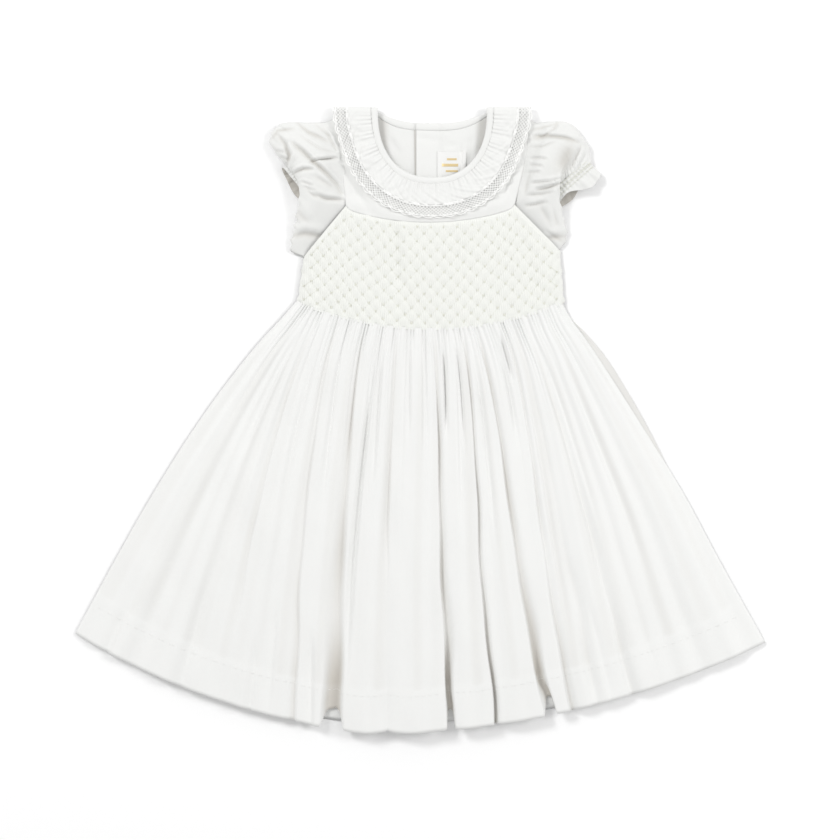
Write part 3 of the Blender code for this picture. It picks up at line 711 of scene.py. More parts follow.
def front_skirt_grid():
    waist = crowded_columns(SKIRT_COLUMNS)
    hem = hem_x_of(waist)
    share = np.concatenate([shares(SKIRT_ROWS) ** ROW_CROWD, column_of(TURN_UP, "share")])[:, None]
    under = np.concatenate([np.zeros(SKIRT_ROWS + 1), column_of(TURN_UP, "under")])
    x = skirt_x(waist[None, :], hem[None, :], share, True)
    stands, lean, rise = valley_profile(x, share)
    part = np.interp(waist, column_of(VALLEYS, "waist"), np.arange(len(VALLEYS))) % 1.0
    drops = np.interp(waist, column_of(VALLEYS, "waist"), column_of(VALLEYS, "drop"))
    low = hem_y(hem) - drops * hump(part, 0.5)
    y = lerp(waist_y(waist)[None, :] + 2.0, low[None, :], share) + rise
    across = (waist - WAIST_LEFT) / (WAIST_RIGHT - WAIST_LEFT)
    edge = np.minimum(across, 1.0 - across)[None, :]
    roll = np.sqrt(1.0 - (1.0 - np.clip(edge / 0.035, 0.0, 1.0)) ** 2)
    floor = lerp(WAIST_LEVEL, HEM_LEVEL, ease(share / 0.32))
    swell = swell_height(waist[None, :], share) * (0.86 + 0.14 * hump(part, 1.0)[None, :])
    soft = 1.5 * wander(hem[None, :] + 14.0 * share, 3, 57.0, 38.0, 23.0) * ease(share / 0.2)
    soft = soft + 0.35 * wander(x + 0.5 * y, 4, 71.0, 45.0) * ease(share / 0.2)
    band = HEM_BAND * ease((low[None, :] - y + HEM_DEPTH + 1.0) / 1.6)
    raw = floor + swell * stands + short_folds(x, share) + gathers(waist[None, :], share) + soft
    raw = np.maximum(raw, VALLEY_FLOOR + VALLEY_PRESS * (raw - VALLEY_FLOOR))
    z = lerp(SKIRT_SIDE_LEVEL, raw + band, roll) - under[:, None]
    double = 0.13 * wander(hem[None, :] + 10.0 * share, 6, 31.0, 47.0, 19.0) * ease(share / 0.15)
    # Painted shade: darker deep in the valleys, more so towards the hem.
    shade = lerp(0.5, 1.0, share) * (1.0 - stands) ** 2 * ease(share / 0.1)
    tone = np.clip(double - shade + 0.12 * band / HEM_BAND, -1.0, 1.0)
    return np.stack([x + lean, y, z], axis=-1), tone


skirt_points, skirt_tone = front_skirt_grid()
skirt_front = sheet_of_cloth("skirt_front", skirt_points, cotton, tone=skirt_tone)
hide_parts("front_panel")

# %% [markdown]
# The hem is turned up inside by about the width of two fingers and stitched by hand. Only a
# row of small dashes shows on the right side of the cloth. Each dash is a short strand laid
# on the skirt's own points, so it follows every pleat.

# %% Hem stitches
DASH_STEP = 6
DASH_POINTS = 4
DASH_LIFT = 0.12
HEM_DASH = (0.1, 0.26, 0.26, 0.1)
HEM_SHARE = TURN_UP[-1].share


def hem_dashes():
    row = int(np.argmin(np.abs(shares(SKIRT_ROWS) ** ROW_CROWD - HEM_SHARE)))
    line = skirt_points[row] + (0.0, 0.0, DASH_LIFT)
    starts = np.arange(4, SKIRT_COLUMNS - 8, DASH_STEP)
    return np.stack([line[starts + k] for k in range(DASH_POINTS)], axis=1)


hem_stitches = strands("hem_stitches", hem_dashes(), HEM_DASH, 5, white_thread)

# %% [markdown]
# The back of the skirt is the same rectangle of cloth, gathered straight into the waist. It
# lies on the table, so its pleats are pressed nearly flat, and what shows from the front is
# its hem in the open valleys and a strip at the right. The valleys of the front table,
# mirrored, give it folds as uneven as those in front.

# %% Back of the skirt
BACK_COLUMNS = 360
BACK_ROWS = 90
BACK_REST = 0.35
BACK_SWELL = 1.35
BACK_LOWEST = 0.12
BACK_TURN_UP = (0.995, 0.95, 0.91)
BACK_TURN_UNDER = 0.25
SIDE_FOLDS = (
    Press(112.0, 96.0, 190.0, -12.0, 1.1, 3.0),
    Press(128.0, 92.0, 226.0, -70.0, 1.2, 3.4),
    Press(-100.0, 92.0, -168.0, 2.0, 1.0, 4.0),
)


def back_skirt_grid():
    waist = np.linspace(WAIST_LEFT, WAIST_RIGHT, BACK_COLUMNS)
    hem = hem_x_of(waist)
    share = np.concatenate([shares(BACK_ROWS), BACK_TURN_UP])[:, None]
    under = np.zeros(len(share))
    under[-len(BACK_TURN_UP) :] = BACK_TURN_UNDER
    x = skirt_x(waist[None, :], hem[None, :], share, False)
    across = np.linspace(0.0, 1.0, BACK_COLUMNS)
    low = hem_y(hem) + BACK_HEM_SHORT * hump(across, 0.4)
    y = lerp(BACK_WAIST_Y, low[None, :], share)
    flip = WAIST_LEFT + WAIST_RIGHT - waist
    stands = np.ones_like(x)
    for row in VALLEYS[1:-1]:
        width = lerp(1.6, 6.0, share)
        drift = (flip - row.waist)[None, :] * np.gradient(hem, waist)[None, :] ** share
        stands = stands * (1.0 - (0.4 + 0.6 * row.depth) * np.exp(-((drift / width) ** 2)))
    fine = 0.35 * np.sin(2.0 * math.pi * waist / 5.3)[None, :] * np.exp(-share / 0.14)
    swell = BACK_SWELL * stands * (0.8 + 0.2 * wander(x, 21, 47.0, 83.0))
    z = BACK_REST + swell + fine * (stands > 0.3)
    z = np.maximum(z + pressed(x, y, SIDE_FOLDS), BACK_REST) - under[:, None]
    # Painted shade on the strip of the back that shows at the right, in its upper half.
    strip = ease((across[None, :] - 0.86) / 0.06) * ease((0.5 - share) / 0.1)
    tone = np.where(share > HEM_SHARE, 0.1, 0.0) - 0.3 * strip
    return np.stack([x, y, np.maximum(z, BACK_LOWEST)], axis=-1), tone


back_points, back_tone = back_skirt_grid()
skirt_back = sheet_of_cloth("skirt_back_cloth", back_points, cotton, tone=back_tone)
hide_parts("skirt_back")

# %% [markdown]
# The bodice is drafted as seams: a curved neck, two armholes and two sides. These tables hold
# the armhole seams from shoulder to underarm, the same points as the solid pieces have, and
# every panel that meets an armhole reads them.

# %% Armholes and yoke line
SeamPoint = namedtuple("SeamPoint", "share x y")
SEAM_CORNER = 0.62
LEFT_SEAM = (
    SeamPoint(0.0, -76.0, 284.0),
    SeamPoint(0.2, -74.0, 250.0),
    SeamPoint(0.38, -71.0, 228.0),
    SeamPoint(0.62, -68.5, 198.5),
    SeamPoint(0.88, -99.0, 163.5),
    SeamPoint(1.0, -108.0, 151.0),
)
RIGHT_SEAM = (
    SeamPoint(0.0, 97.0, 284.0),
    SeamPoint(0.2, 99.0, 250.0),
    SeamPoint(0.38, 94.0, 226.0),
    SeamPoint(0.62, 87.5, 199.5),
    SeamPoint(0.88, 121.0, 167.0),
    SeamPoint(1.0, 130.0, 157.0),
)
YOKE_SAG = 14.0


def seam_xy(side, share):
    seam = RIGHT_SEAM if side > 0 else LEFT_SEAM
    at = column_of(seam, "share")
    return np.interp(share, at, column_of(seam, "x")), np.interp(share, at, column_of(seam, "y"))


def yoke_line_y(x):
    left_x, left_y = seam_xy(-1, SEAM_CORNER)
    right_x, right_y = seam_xy(1, SEAM_CORNER)
    share = (x - left_x) / (right_x - left_x)
    return lerp(left_y, right_y, share) - YOKE_SAG * hump(share, 0.7)


def smocked_top_y(x):
    top = yoke_line_y(x)
    for side in (-1, 1):
        corner_x, corner_y = seam_xy(side, SEAM_CORNER)
        arm_x, arm_y = seam_xy(side, 1.0)
        slope = (arm_y - corner_y) / (arm_x - corner_x)
        top = np.where(side * (x - corner_x) > 0.0, corner_y + slope * (x - corner_x), top)
    return top


print("yoke line sags to", round(float(yoke_line_y(9.5)), 1), "mm above the frame's centre")

# %% [markdown]
# Smocking gathers the chest into tube pleats, about one every two millimetres, and holds
# them with small stitches on a trellis. The stitches pull the pleats together in pairs, so
# the cloth dips at each stitch and puffs in the diamonds between. Two crossed cosines give
# exactly that: high in the diamonds, low on the trellis, lowest where two lines cross.

# %% Smocked chest
CHEST_COLUMNS = 800
CHEST_ROWS = 108
TUBE_PITCH = 1.9
TRELLIS_X = 10.0
TRELLIS_WIDE = 12.4
TRELLIS_ROWS = 15
CHEST_LEVEL = 9.0
CHEST_SIDE_LEVEL = 1.7
TOP_TUCK = 6.0
CHEST_FOLDS = (
    Press(-24.0, 188.0, -20.0, 122.0, 1.8, 5.0),
    Press(-2.0, 150.0, 0.0, 92.0, 0.5, 7.0),
    Press(96.0, 168.0, 108.0, 116.0, 0.8, 6.0),
    Press(-92.0, 158.0, -100.0, 112.0, 0.8, 6.0),
    Press(30.0, 182.0, 34.0, 140.0, 0.5, 7.0),
)


def trellis_place(x, y):
    """Trellis coordinates: stitches stand where both are whole, or both are halves."""
    low = waist_y(x)
    up = (y - low) / (yoke_line_y(x) - low)
    p = (x - TRELLIS_X) / TRELLIS_WIDE + 0.10 * wander(x + 0.6 * y, 31, 58.0, 91.0)
    q = up * TRELLIS_ROWS / 2.0 + 0.07 * wander(x - 0.4 * y, 32, 47.0, 73.0)
    return p, q


def chest_height(x, y, edge):
    """The chest's surface at each place; edge is its distance share from the side seams."""
    roll = np.sqrt(1.0 - (1.0 - np.clip(edge / 0.06, 0.0, 1.0)) ** 2)
    p, q = trellis_place(x, y)
    at_whole = np.cos(math.pi * p) * np.cos(math.pi * q)
    at_half = np.sin(math.pi * p) * np.sin(math.pi * q)
    close = at_whole**2 + at_half**2
    tubes = np.abs(np.cos(math.pi * (x + 0.25 * np.sin(math.pi * 2.0 * q)) / TUBE_PITCH)) ** 0.8
    relief = 0.7 * (1.0 - close) ** 1.2 - 0.4 * np.maximum(close - 0.8, 0.0) / 0.2 + 0.6 * tubes
    tuck = 1.0 - ease((smocked_top_y(x) - y) / TOP_TUCK)
    base = lerp(CHEST_SIDE_LEVEL, CHEST_LEVEL - tuck, roll)
    base = base + pressed(x, y, CHEST_FOLDS) * roll * (1.0 - tuck)
    return base + relief * lerp(0.5, 1.0, roll) * (1.0 - tuck), close


def chest_grid():
    across = np.linspace(0.0, 1.0, CHEST_COLUMNS)[None, :]
    share = shares(CHEST_ROWS)[:, None]
    left_x = seam_xy(-1, 1.0)[0]
    right_x = seam_xy(1, 1.0)[0]
    top_x = lerp(left_x, right_x, across)
    low_x = lerp(WAIST_LEFT, WAIST_RIGHT, across)
    x = lerp(top_x, low_x, share)
    y = lerp(smocked_top_y(top_x), waist_y(low_x), share)
    side = np.where(across > 0.5, 1.0, -1.0)
    at_seam = np.abs(across - 0.5) > 0.497
    x = x + 0.8 * side * wander(y, 9, 9.0, 14.0) * at_seam
    z, close = chest_height(x, y, np.minimum(across, 1.0 - across))
    # Painted shade: darker where the stitches pull the cloth into dips, more so near the waist.
    low = ease((0.24 - (y - waist_y(x)) / 90.0) / 0.12)
    tone = -(0.10 + 0.25 * low) * np.maximum(close - 0.85, 0.0) / 0.15
    return np.stack([x, y, z], axis=-1), tone


chest_points, chest_tone = chest_grid()
chest = sheet_of_cloth("smocked_chest", chest_points, smocked_cotton, tone=chest_tone)
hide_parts("front_panel")

# %% [markdown]
# Every stitch belongs at a crossing of the trellis. The trellis is bent with the cloth, so a
# crossing's place is found in a few steps: guess it, see which crossing the guess is at, and
# move by the difference. Crossings too near an edge of the chest carry no stitch.

# %% Places of the stitches
TRELLIS_REACH = 14
CHEST_MIDDLE_Y = 130.0
UNDERARM_Y = 150.0
SIDE_LENGTH = 45.0
SIDE_MARGIN = 2.5
TOP_MARGIN = 3.0
LOW_MARGIN = 0.5


def trellis_crossings():
    """Every crossing inside the panel, with its indices."""
    found = {}
    for j in range(0, TRELLIS_ROWS + 1):
        for i in range(-TRELLIS_REACH, TRELLIS_REACH):
            p = i + 0.5 * (j % 2)
            q = j / 2.0
            x = TRELLIS_X + p * TRELLIS_WIDE
            y = CHEST_MIDDLE_Y
            for _ in range(6):
                low = waist_y(x)
                now_p, now_q = trellis_place(x, y)
                y += (q - now_q) * 2.0 / TRELLIS_ROWS * (yoke_line_y(x) - low)
                x += (p - now_p) * TRELLIS_WIDE
            down = (UNDERARM_Y - y) / SIDE_LENGTH
            side_left = lerp(LEFT_SEAM[-1].x, WAIST_LEFT, down)
            side_right = lerp(RIGHT_SEAM[-1].x, WAIST_RIGHT, down)
            within_sides = side_left + SIDE_MARGIN < x < side_right - SIDE_MARGIN
            below_top = y < smocked_top_y(np.array(x)) - TOP_MARGIN
            if within_sides and below_top and y > waist_y(x) + LOW_MARGIN:
                found[(p, q)] = (float(x), float(y))
    return found


crossings = trellis_crossings()
print("crossings that carry a stitch:", len(crossings))

# %% [markdown]
# The smocking thread shows as a small double wrap at each crossing, with a slanting thread
# from one wrap to the next. They take their height from the chest's own surface, so a thread
# always lies in its dip. Joined into two meshes, hundreds of stitches stay cheap. A hand does
# not place them exactly, so each strays a little.

# %% Smocking stitches
KNOT_WIDE = 2.1
KNOT_STRAY = 0.7
KNOT_RADII = (0.22, 0.36, 0.4, 0.36, 0.22)
KNOT_LIFTS = (-0.7, 0.1, 0.25, 0.1, -0.7)
WRAP_APART = 0.36


def edge_share(x):
    return np.minimum(x - WAIST_LEFT, WAIST_RIGHT - x) / (WAIST_RIGHT - WAIST_LEFT)


def on_chest(lines, lift):
    x = lines[..., 0]
    y = lines[..., 1]
    z = chest_height(x, y, edge_share(x))[0]
    return np.stack([x, y, z + lift], axis=-1)


wraps = []
slants = []
stray = np.random.default_rng(77)
for (p, q), (x, y) in crossings.items():
    x += stray.uniform(-KNOT_STRAY, KNOT_STRAY)
    y += stray.uniform(-KNOT_STRAY, KNOT_STRAY)
    for rise in (-WRAP_APART, WRAP_APART):
        reach = np.linspace(-0.5, 0.5, 5) * KNOT_WIDE
        wraps.append([(x + r, y + rise + 0.25 * r / KNOT_WIDE, 0.0) for r in reach])
    for step in (-0.5, 0.5):
        after = crossings.get((p + step, q + 0.5))
        if after:
            slants.append([(lerp(x, after[0], s), lerp(y, after[1], s), 0.0) for s in shares(7)])
wraps = on_chest(np.array(wraps), 0.0)
wraps[..., 2] = wraps[..., 2].mean(axis=1, keepdims=True) + np.array(KNOT_LIFTS)
slants = on_chest(np.array(slants), 0.0)
slant_levels = slants[..., 2].mean(axis=1, keepdims=True)
slants[..., 2] = 0.5 * slants[..., 2] + 0.5 * slant_levels + 0.1
knots = strands("smocking_knots", wraps, KNOT_RADII, 6, ivory_thread)
trellis = strands("smocking_trellis", slants, 0.14, 4, ivory_thread)

# %% [markdown]
# The neck is one curve that runs up the front, over each shoulder's fold and along the back.
# A single number t walks along it: up to 1 on the front, to 2 over the fold and to 3 at the
# centre back. The binding, the frill, the lace and the yoke all start from this curve.

# %% Neck curve
NECK_X = 11.5
SHOULDER_Y = 285.4
NECK_HALF = 50.5
NECK_DEPTH = 61.0
NECK_POWER = 2.3
BACK_NECK_DEPTH = 10.5
BINDING_WIDTH = 6.5
FOLD_AXIS = 5.5
LEFT_BACK_END = 15.0
RIGHT_BACK_END = -3.7
FRILL_LEFT_END = -3.0
FRILL_RIGHT_END = 15.5
BINDING_ENDS = (LEFT_BACK_END, RIGHT_BACK_END)
FRILL_ENDS = (FRILL_LEFT_END, FRILL_RIGHT_END)
WALK_RADIUS = 4.5
WALK_STEPS = 1400


def neck_station(t, back_end):
    """The neck's edge at t, the way out from it in plan, and the turn about the fold."""
    side = -1.0 if t < 0.0 else 1.0
    reach = abs(t)
    shoulder_x = NECK_X + side * NECK_HALF
    if reach <= 1.0:
        angle = math.pi * (1.0 - t) / 2.0
        power = 2.0 / NECK_POWER
        cosine = math.cos(angle)
        sine = max(math.sin(angle), 0.0)
        across = math.copysign(abs(cosine) ** power, cosine)
        point = (NECK_X + NECK_HALF * across, SHOULDER_Y - NECK_DEPTH * sine**power)
        away_x = math.copysign(abs(cosine) ** (2.0 - power), cosine) * NECK_DEPTH
        away_y = -(sine ** (2.0 - power)) * NECK_HALF
        length = math.hypot(away_x, away_y)
        return point, (away_x / length, away_y / length), 0.0
    if reach <= 2.0:
        return (shoulder_x, SHOULDER_Y), (side, 0.0), math.pi * (reach - 1.0)
    x = lerp(shoulder_x, back_end, reach - 2.0)
    y = SHOULDER_Y - BACK_NECK_DEPTH * (1.0 - (abs(x - NECK_X) / NECK_HALF) ** 2.5)
    turn = math.pi / 2.0 * float(ease((reach - 2.0) * 1.7))
    return (x, y), (side * math.cos(turn), -math.sin(turn)), math.pi


def neck_point(t, out, front_radius, back_radius, back_end):
    point, away, turn = neck_station(t, back_end)
    radius = lerp(front_radius, back_radius, turn / math.pi)
    return np.array(
        (
            point[0] + away[0] * out,
            point[1] + away[1] * out + radius * math.sin(turn),
            FOLD_AXIS + radius * math.cos(turn),
        )
    )


def even_walk(count, out, ends):
    """Values of t all round, evenly spaced along the line that is out from the neck."""
    fine = np.linspace(-3.0, 3.0, WALK_STEPS)
    line = [neck_point(t, out, WALK_RADIUS, WALK_RADIUS, ends[int(t > 0)]) for t in fine]
    run = np.concatenate([[0.0], np.cumsum(np.linalg.norm(np.diff(line, axis=0), axis=1))])
    steps = np.interp(np.linspace(0.0, run[-1], count), run, fine)
    return steps, np.linspace(0.0, run[-1], count)


print("neck edge is", round(even_walk(50, 0.0, BINDING_ENDS)[1][-1]), "mm all round")

# %% [markdown]
# The back lies under everything. It rests on the card, but the frill's back and the buttons
# are under it and lift it a little, and the right half laps over the left. One function says
# how high the back lies at any place, so that the halves, the label and the sleeves agree.

# %% How the back lies
OVERLAP_STEP = 1.5
LAP_FADE = 12.0
BACK_CLEAR = 0.6
FRILL_LIFT = 1.5
FRILL_REACH = 98.0
FRILL_FADE = 27.0
BUTTON_LIFT = 2.7
BUTTON_X = 6.5
STRIP_HALF = 9.0
STRIP_FADE = 12.0
STRIP_LOW_Y = 104.0
BACK_FOLDS = (
    Press(39.5, 256.0, 37.5, 232.0, 1.1, 1.6),
    Press(47.0, 262.0, 46.0, 240.0, 1.0, 2.6),
    Press(20.0, 254.5, 34.0, 255.5, 0.7, 1.5),
    Press(-29.0, 262.0, -20.0, 248.0, 0.7, 3.0),
    Press(-6.0, 262.0, 30.0, 258.0, 0.5, 2.2),
    Press(-70.0, 205.0, -96.0, 128.0, 1.6, 6.0),
    Press(88.0, 205.0, 112.0, 126.0, 1.6, 6.0),
    Press(-40.0, 200.0, -52.0, 112.0, 1.2, 7.0),
    Press(52.0, 190.0, 60.0, 108.0, 1.2, 7.0),
)


def back_lift(x, y):
    from_neck = np.hypot(x - NECK_X, y - SHOULDER_Y)
    frill = FRILL_LIFT * (1.0 - ease((from_neck - FRILL_REACH) / FRILL_FADE))
    beside = ease((np.abs(x - BUTTON_X) - STRIP_HALF) / STRIP_FADE)
    strip = (1.0 - beside) * ease((y - STRIP_LOW_Y) / 10.0)
    return np.maximum(frill, BUTTON_LIFT * strip)


def back_level(x, y, side):
    lap = OVERLAP_STEP * (1.0 - ease((x - LEFT_BACK_END - 1.0) / LAP_FADE))
    return back_lift(x, y) + BACK_CLEAR + (lap if side > 0 else 0.0)


def neck_edge_y(side, x):
    end = BINDING_ENDS[int(side > 0)]
    line = [neck_point((2.0 + q) * side, BINDING_WIDTH - 1.0, 0.0, 0.0, end) for q in shares(40)]
    line = np.array(sorted((p[0], p[1]) for p in line))
    inside = np.interp(x, line[:, 0], line[:, 1])
    return np.where(np.abs(x - NECK_X) > NECK_HALF, SHOULDER_Y, inside)


def side_edge_x(side, y):
    seam = RIGHT_SEAM if side > 0 else LEFT_SEAM
    heights = [BACK_WAIST_Y, *sorted(p.y for p in seam)]
    waist_x = WAIST_RIGHT if side > 0 else WAIST_LEFT
    places = [waist_x, *[p.x for p in sorted(seam, key=lambda p: p.y)]]
    return np.interp(y, heights, places) - side * 0.6


print("the lap lies", round(float(back_level(0.0, 180.0, 1)), 1), "mm above the card")

# %% [markdown]
# Each half of the back is plain, from the neck to the waist, with the opening at the centre.
# The right half's edge shows as one upright line inside the neck. A plain grid is enough,
# with creases pressed in; painted shade darkens the places that a soft light leaves too
# bright, and a painted highlight lightens the right half's folded edge.

# %% Back halves
BODICE_LOWEST = 0.45
BODICE_TOP_Y = 284.0
SLIT_X = 39.3
SLIT_Y = 243.0


def back_painted_shading(x, y, side):
    """Painted shade by the lap's edge, the neck's corners and the slit; painted highlight on the right
    half's fold.
    """
    corners = np.exp(-(((np.abs(x - NECK_X) - 46.0) / 6.0) ** 2)) * ease((y - 236.0) / 12.0)
    slit_shade = np.exp(-(((x - SLIT_X + 0.1 * (y - SLIT_Y)) / 1.3) ** 2))
    slit_shade = slit_shade * ease((y - SLIT_Y + 9.0) / 6.0) * ease((SLIT_Y + 9.0 - y) / 5.0)
    lap_shadow = np.exp(-(((x - RIGHT_BACK_END + 0.7) / 0.9) ** 2)) if side < 0 else 0.0
    folded = 0.5 * np.exp(-(((x - RIGHT_BACK_END - 1.6) / 1.1) ** 2)) if side > 0 else 0.0
    return np.clip(0.15 + folded - 0.55 * corners - 0.8 * slit_shade - 0.9 * lap_shadow, -1.0, 1.0)


def back_grid(side):
    end = BINDING_ENDS[int(side > 0)]
    top = BODICE_TOP_Y
    heights = lerp(top, BACK_WAIST_Y + 0.3, shares(70))[:, None]
    across = shares(64)[None, :]
    if side < 0:
        across = 1.0 - across
    top_x = lerp(end, side_edge_x(side, top), across)
    share = (heights - BACK_WAIST_Y) / (top - BACK_WAIST_Y)
    y = BACK_WAIST_Y + share * (neck_edge_y(side, top_x) - BACK_WAIST_Y)
    x = lerp(end, side_edge_x(side, heights), across)
    z = np.maximum(back_level(x, y, side) + pressed(x, y, BACK_FOLDS), BODICE_LOWEST)
    return np.stack([x, y, z], axis=-1), back_painted_shading(x, y, side)


halves = {}
for side, name in ((-1, "back_left"), (1, "back_right")):
    points, tone = back_grid(side)
    half = sheet_of_cloth(name + "_cloth", points, bodice_cotton, wall=0.5, tone=tone)
    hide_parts(name)
    halves[half] = points

# %% [markdown]
# The yoke joins the smocking to the neck and carries the collar. It is plain cloth with a few
# soft drags where the armholes pull.

# %% Yoke
YOKE_RADIUS = 2.9
YOKE_BACK_RADIUS = 3.4
YOKE_DROP = 1.2
YOKE_SWELL = 1.3
YOKE_FOLDS = (
    Press(-71.0, 236.0, -55.0, 202.0, 2.2, 3.2),
    Press(-60.0, 214.0, -44.0, 190.0, 1.4, 4.5),
    Press(72.0, 222.0, 58.0, 200.0, 1.8, 3.6),
    Press(86.0, 232.0, 74.0, 204.0, 1.4, 3.0),
    Press(-30.0, 193.0, 38.0, 190.0, 0.9, 3.0),
    Press(-76.0, 250.0, -66.0, 236.0, 1.2, 2.6),
)


def yoke_outer(t):
    side = -1 if t < 0 else 1
    reach = min(abs(t), 1.0)
    if reach >= 0.5:
        x, y = seam_xy(side, SEAM_CORNER * (1.0 - reach) / 0.5)
        return x + side * 0.3, min(y, SHOULDER_Y)
    left_x = seam_xy(-1, SEAM_CORNER)[0]
    right_x = seam_xy(1, SEAM_CORNER)[0]
    x = lerp(left_x, right_x, t + 0.5)
    return x, yoke_line_y(x) - 2.2


def yoke_grid():
    steps = np.linspace(-1.9, 1.9, 240)
    grid = np.zeros((30, len(steps), 3))
    for j, t in enumerate(steps):
        inner = neck_point(t, BINDING_WIDTH - 1.5, YOKE_RADIUS, YOKE_BACK_RADIUS, 0.0)
        outer = yoke_outer(t)
        for i, share in enumerate(shares(29)):
            point = inner.copy()
            point[0] = lerp(inner[0], outer[0], share)
            if abs(t) <= 1.0:
                point[1] = lerp(inner[1], outer[1], share)
                edge = float(ease((abs(t) - 0.45) / 0.1))
                swell = float(ease(share * 2.0 - 1.0)) - float(ease(share * 6.0 - 5.0))
                point[2] -= YOKE_DROP * edge * float(ease(share * 1.5 - 0.5))
                point[2] += YOKE_SWELL * (1.0 - edge) * swell
            grid[i, j] = point
    front = np.abs(steps)[None, :] <= 1.0
    grid[..., 2] += pressed(grid[..., 0], grid[..., 1], YOKE_FOLDS) * front
    return grid


yoke_points = yoke_grid()
yoke = sheet_of_cloth("yoke_cloth", yoke_points, bodice_cotton, wall=0.6)
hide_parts("yoke_front")

# %% [markdown]
# The neck binding is a folded strip, round at its edge. It is a tube with a flat oval section,
# swept along the neck curve, and a row of stitches sits near its outer edge.

# %% Neck binding
BINDING_AROUND = 14
BINDING_RADIUS = 3.7
BINDING_BACK_DROP = 2.1
BINDING_HALF = 1.3
BINDING_BACK_HALF = 0.7
STITCH_INSET = 1.3
NECK_DASH = (0.08, 0.2, 0.2, 0.08)


def binding_point(t, out, rise):
    """A place on the binding: out from the neck, and rise above its middle."""
    end = BINDING_ENDS[int(t > 0)]
    turn = neck_station(t, end)[2]
    middle = neck_point(t, out, BINDING_RADIUS, FOLD_AXIS - BINDING_BACK_DROP, end)
    if turn == math.pi:
        middle[2] = float(back_level(middle[0], middle[1], 1 if t > 0 else -1)) + 0.35
    half = lerp(BINDING_HALF, BINDING_BACK_HALF, turn / math.pi)
    return middle + rise * half * np.array((0.0, math.sin(turn), math.cos(turn)))


def binding_grid():
    steps = even_walk(420, 3.0, BINDING_ENDS)[0]
    turns = 2.0 * math.pi * np.arange(BINDING_AROUND) / BINDING_AROUND
    half = BINDING_WIDTH / 2.0
    return np.array(
        [
            [binding_point(t, half * (1.0 + math.cos(a)), math.sin(a)) for a in turns]
            for t in steps
        ]
    )


def binding_stitches():
    out = BINDING_WIDTH - STITCH_INSET
    steps = even_walk(1300, out, BINDING_ENDS)[0]
    line = np.array([binding_point(t, out, 0.86) for t in steps])
    starts = np.arange(0, len(line) - 4, 5)
    return np.stack([line[starts + k] for k in range(DASH_POINTS)], axis=1)


binding_points = binding_grid()[:, ::-1]
binding = sheet_of_cloth(
    "neck_binding_cloth", binding_points, bodice_cotton, wall=0.3, ring=True
)
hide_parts("neck_binding")
neck_stitches = strands("neck_stitches", binding_stitches(), NECK_DASH, 5, white_thread)

# %% [markdown]
# The collar is one long strip gathered into the neck, so it ripples. Near the binding the
# gathers are fine and close. Towards its edge they open into a few slow waves. Irregular sine
# waves along the neck give both, each with its own reach.

# %% Collar frill
FRILL_END = 25.5
LACE_END = 37.5
SHOULDER_EXTRA = 4.0
FRILL_RADIUS = 4.2
FrillCrease = namedtuple("FrillCrease", "t depth width reach")
FRILL_CREASES = (
    FrillCrease(-0.17, 1.7, 0.014, 1.0),
    FrillCrease(0.12, 1.6, 0.014, 1.0),
    FrillCrease(-0.13, 0.8, 0.008, 0.5),
    FrillCrease(0.16, 0.8, 0.008, 0.6),
    FrillCrease(-0.36, 1.1, 0.02, 0.8),
    FrillCrease(0.36, 1.2, 0.022, 0.9),
    FrillCrease(-0.27, 0.8, 0.01, 0.5),
    FrillCrease(0.29, 0.9, 0.012, 0.6),
    FrillCrease(-0.55, 1.2, 0.02, 1.0),
    FrillCrease(0.6, 1.1, 0.02, 0.8),
    FrillCrease(-0.66, 0.8, 0.012, 0.6),
    FrillCrease(0.7, 0.9, 0.014, 0.7),
    FrillCrease(-0.78, 1.0, 0.02, 0.9),
    FrillCrease(0.82, 1.0, 0.02, 0.9),
    FrillCrease(0.0, 0.8, 0.012, 0.6),
    FrillCrease(0.22, 0.9, 0.012, 0.5),
    FrillCrease(-0.05, 0.7, 0.008, 0.4),
)


def frill_rise(t, run, out):
    """How far the collar stands off the yoke at a place: ripples, gathers and creases."""
    front = float(ease((1.2 - abs(t)) / 0.35))
    grow = (out - BINDING_WIDTH) / (LACE_END - BINDING_WIDTH)
    slow = float(wander(run, 41, 27.0, 19.0, 36.0)) * 1.5
    quick = float(wander(run + 0.7 * out, 42, 10.5, 7.9)) * 0.6
    crumple = float(wander(run - 1.4 * out, 44, 15.0, 9.7, 6.1)) * 1.15
    fine = float(wander(run, 43, 3.6, 4.7)) * 0.8 * math.exp(-(out - BINDING_WIDTH) / 9.0)
    rise = 0.55 + grow * (slow + quick + crumple + 1.0) + fine
    for row in FRILL_CREASES:
        near = math.exp(-(((t - row.t) / row.width) ** 2))
        rise -= row.depth * near * math.exp(-grow / row.reach)
    return max(rise, 0.15) * lerp(0.18, 1.0, front)


def collar_point(t, run, out, lift=0.0):
    wide = 1.0 + SHOULDER_EXTRA / LACE_END * float(ease((abs(t) - 0.75) / 0.25))
    radius = FRILL_RADIUS + frill_rise(t, run, out) + lift
    return neck_point(t, out * wide, radius, FOLD_AXIS - 0.55, FRILL_ENDS[int(t > 0)])


def collar_grid(start, end, rows, columns):
    steps, run = even_walk(columns, (start + end) / 2.0, FRILL_ENDS)
    outs = lerp(start, end, shares(rows))
    return np.array([[collar_point(t, r, out) for t, r in zip(steps, run)] for out in outs])


frill_points = collar_grid(BINDING_WIDTH - 0.8, FRILL_END, 22, 620)
frill = sheet_of_cloth("collar_frill_cloth", frill_points, bodice_cotton, wall=0.45)
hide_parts("collar_frill")

# %% [markdown]
# Cotton lace edges the frill: a net of diamonds between a firm heading, which is sewn to the
# frill, and a scalloped outer edge. Light passes through the real holes, so the net is made
# of strands and not painted. Every strand lies on the collar's own rippled surface.

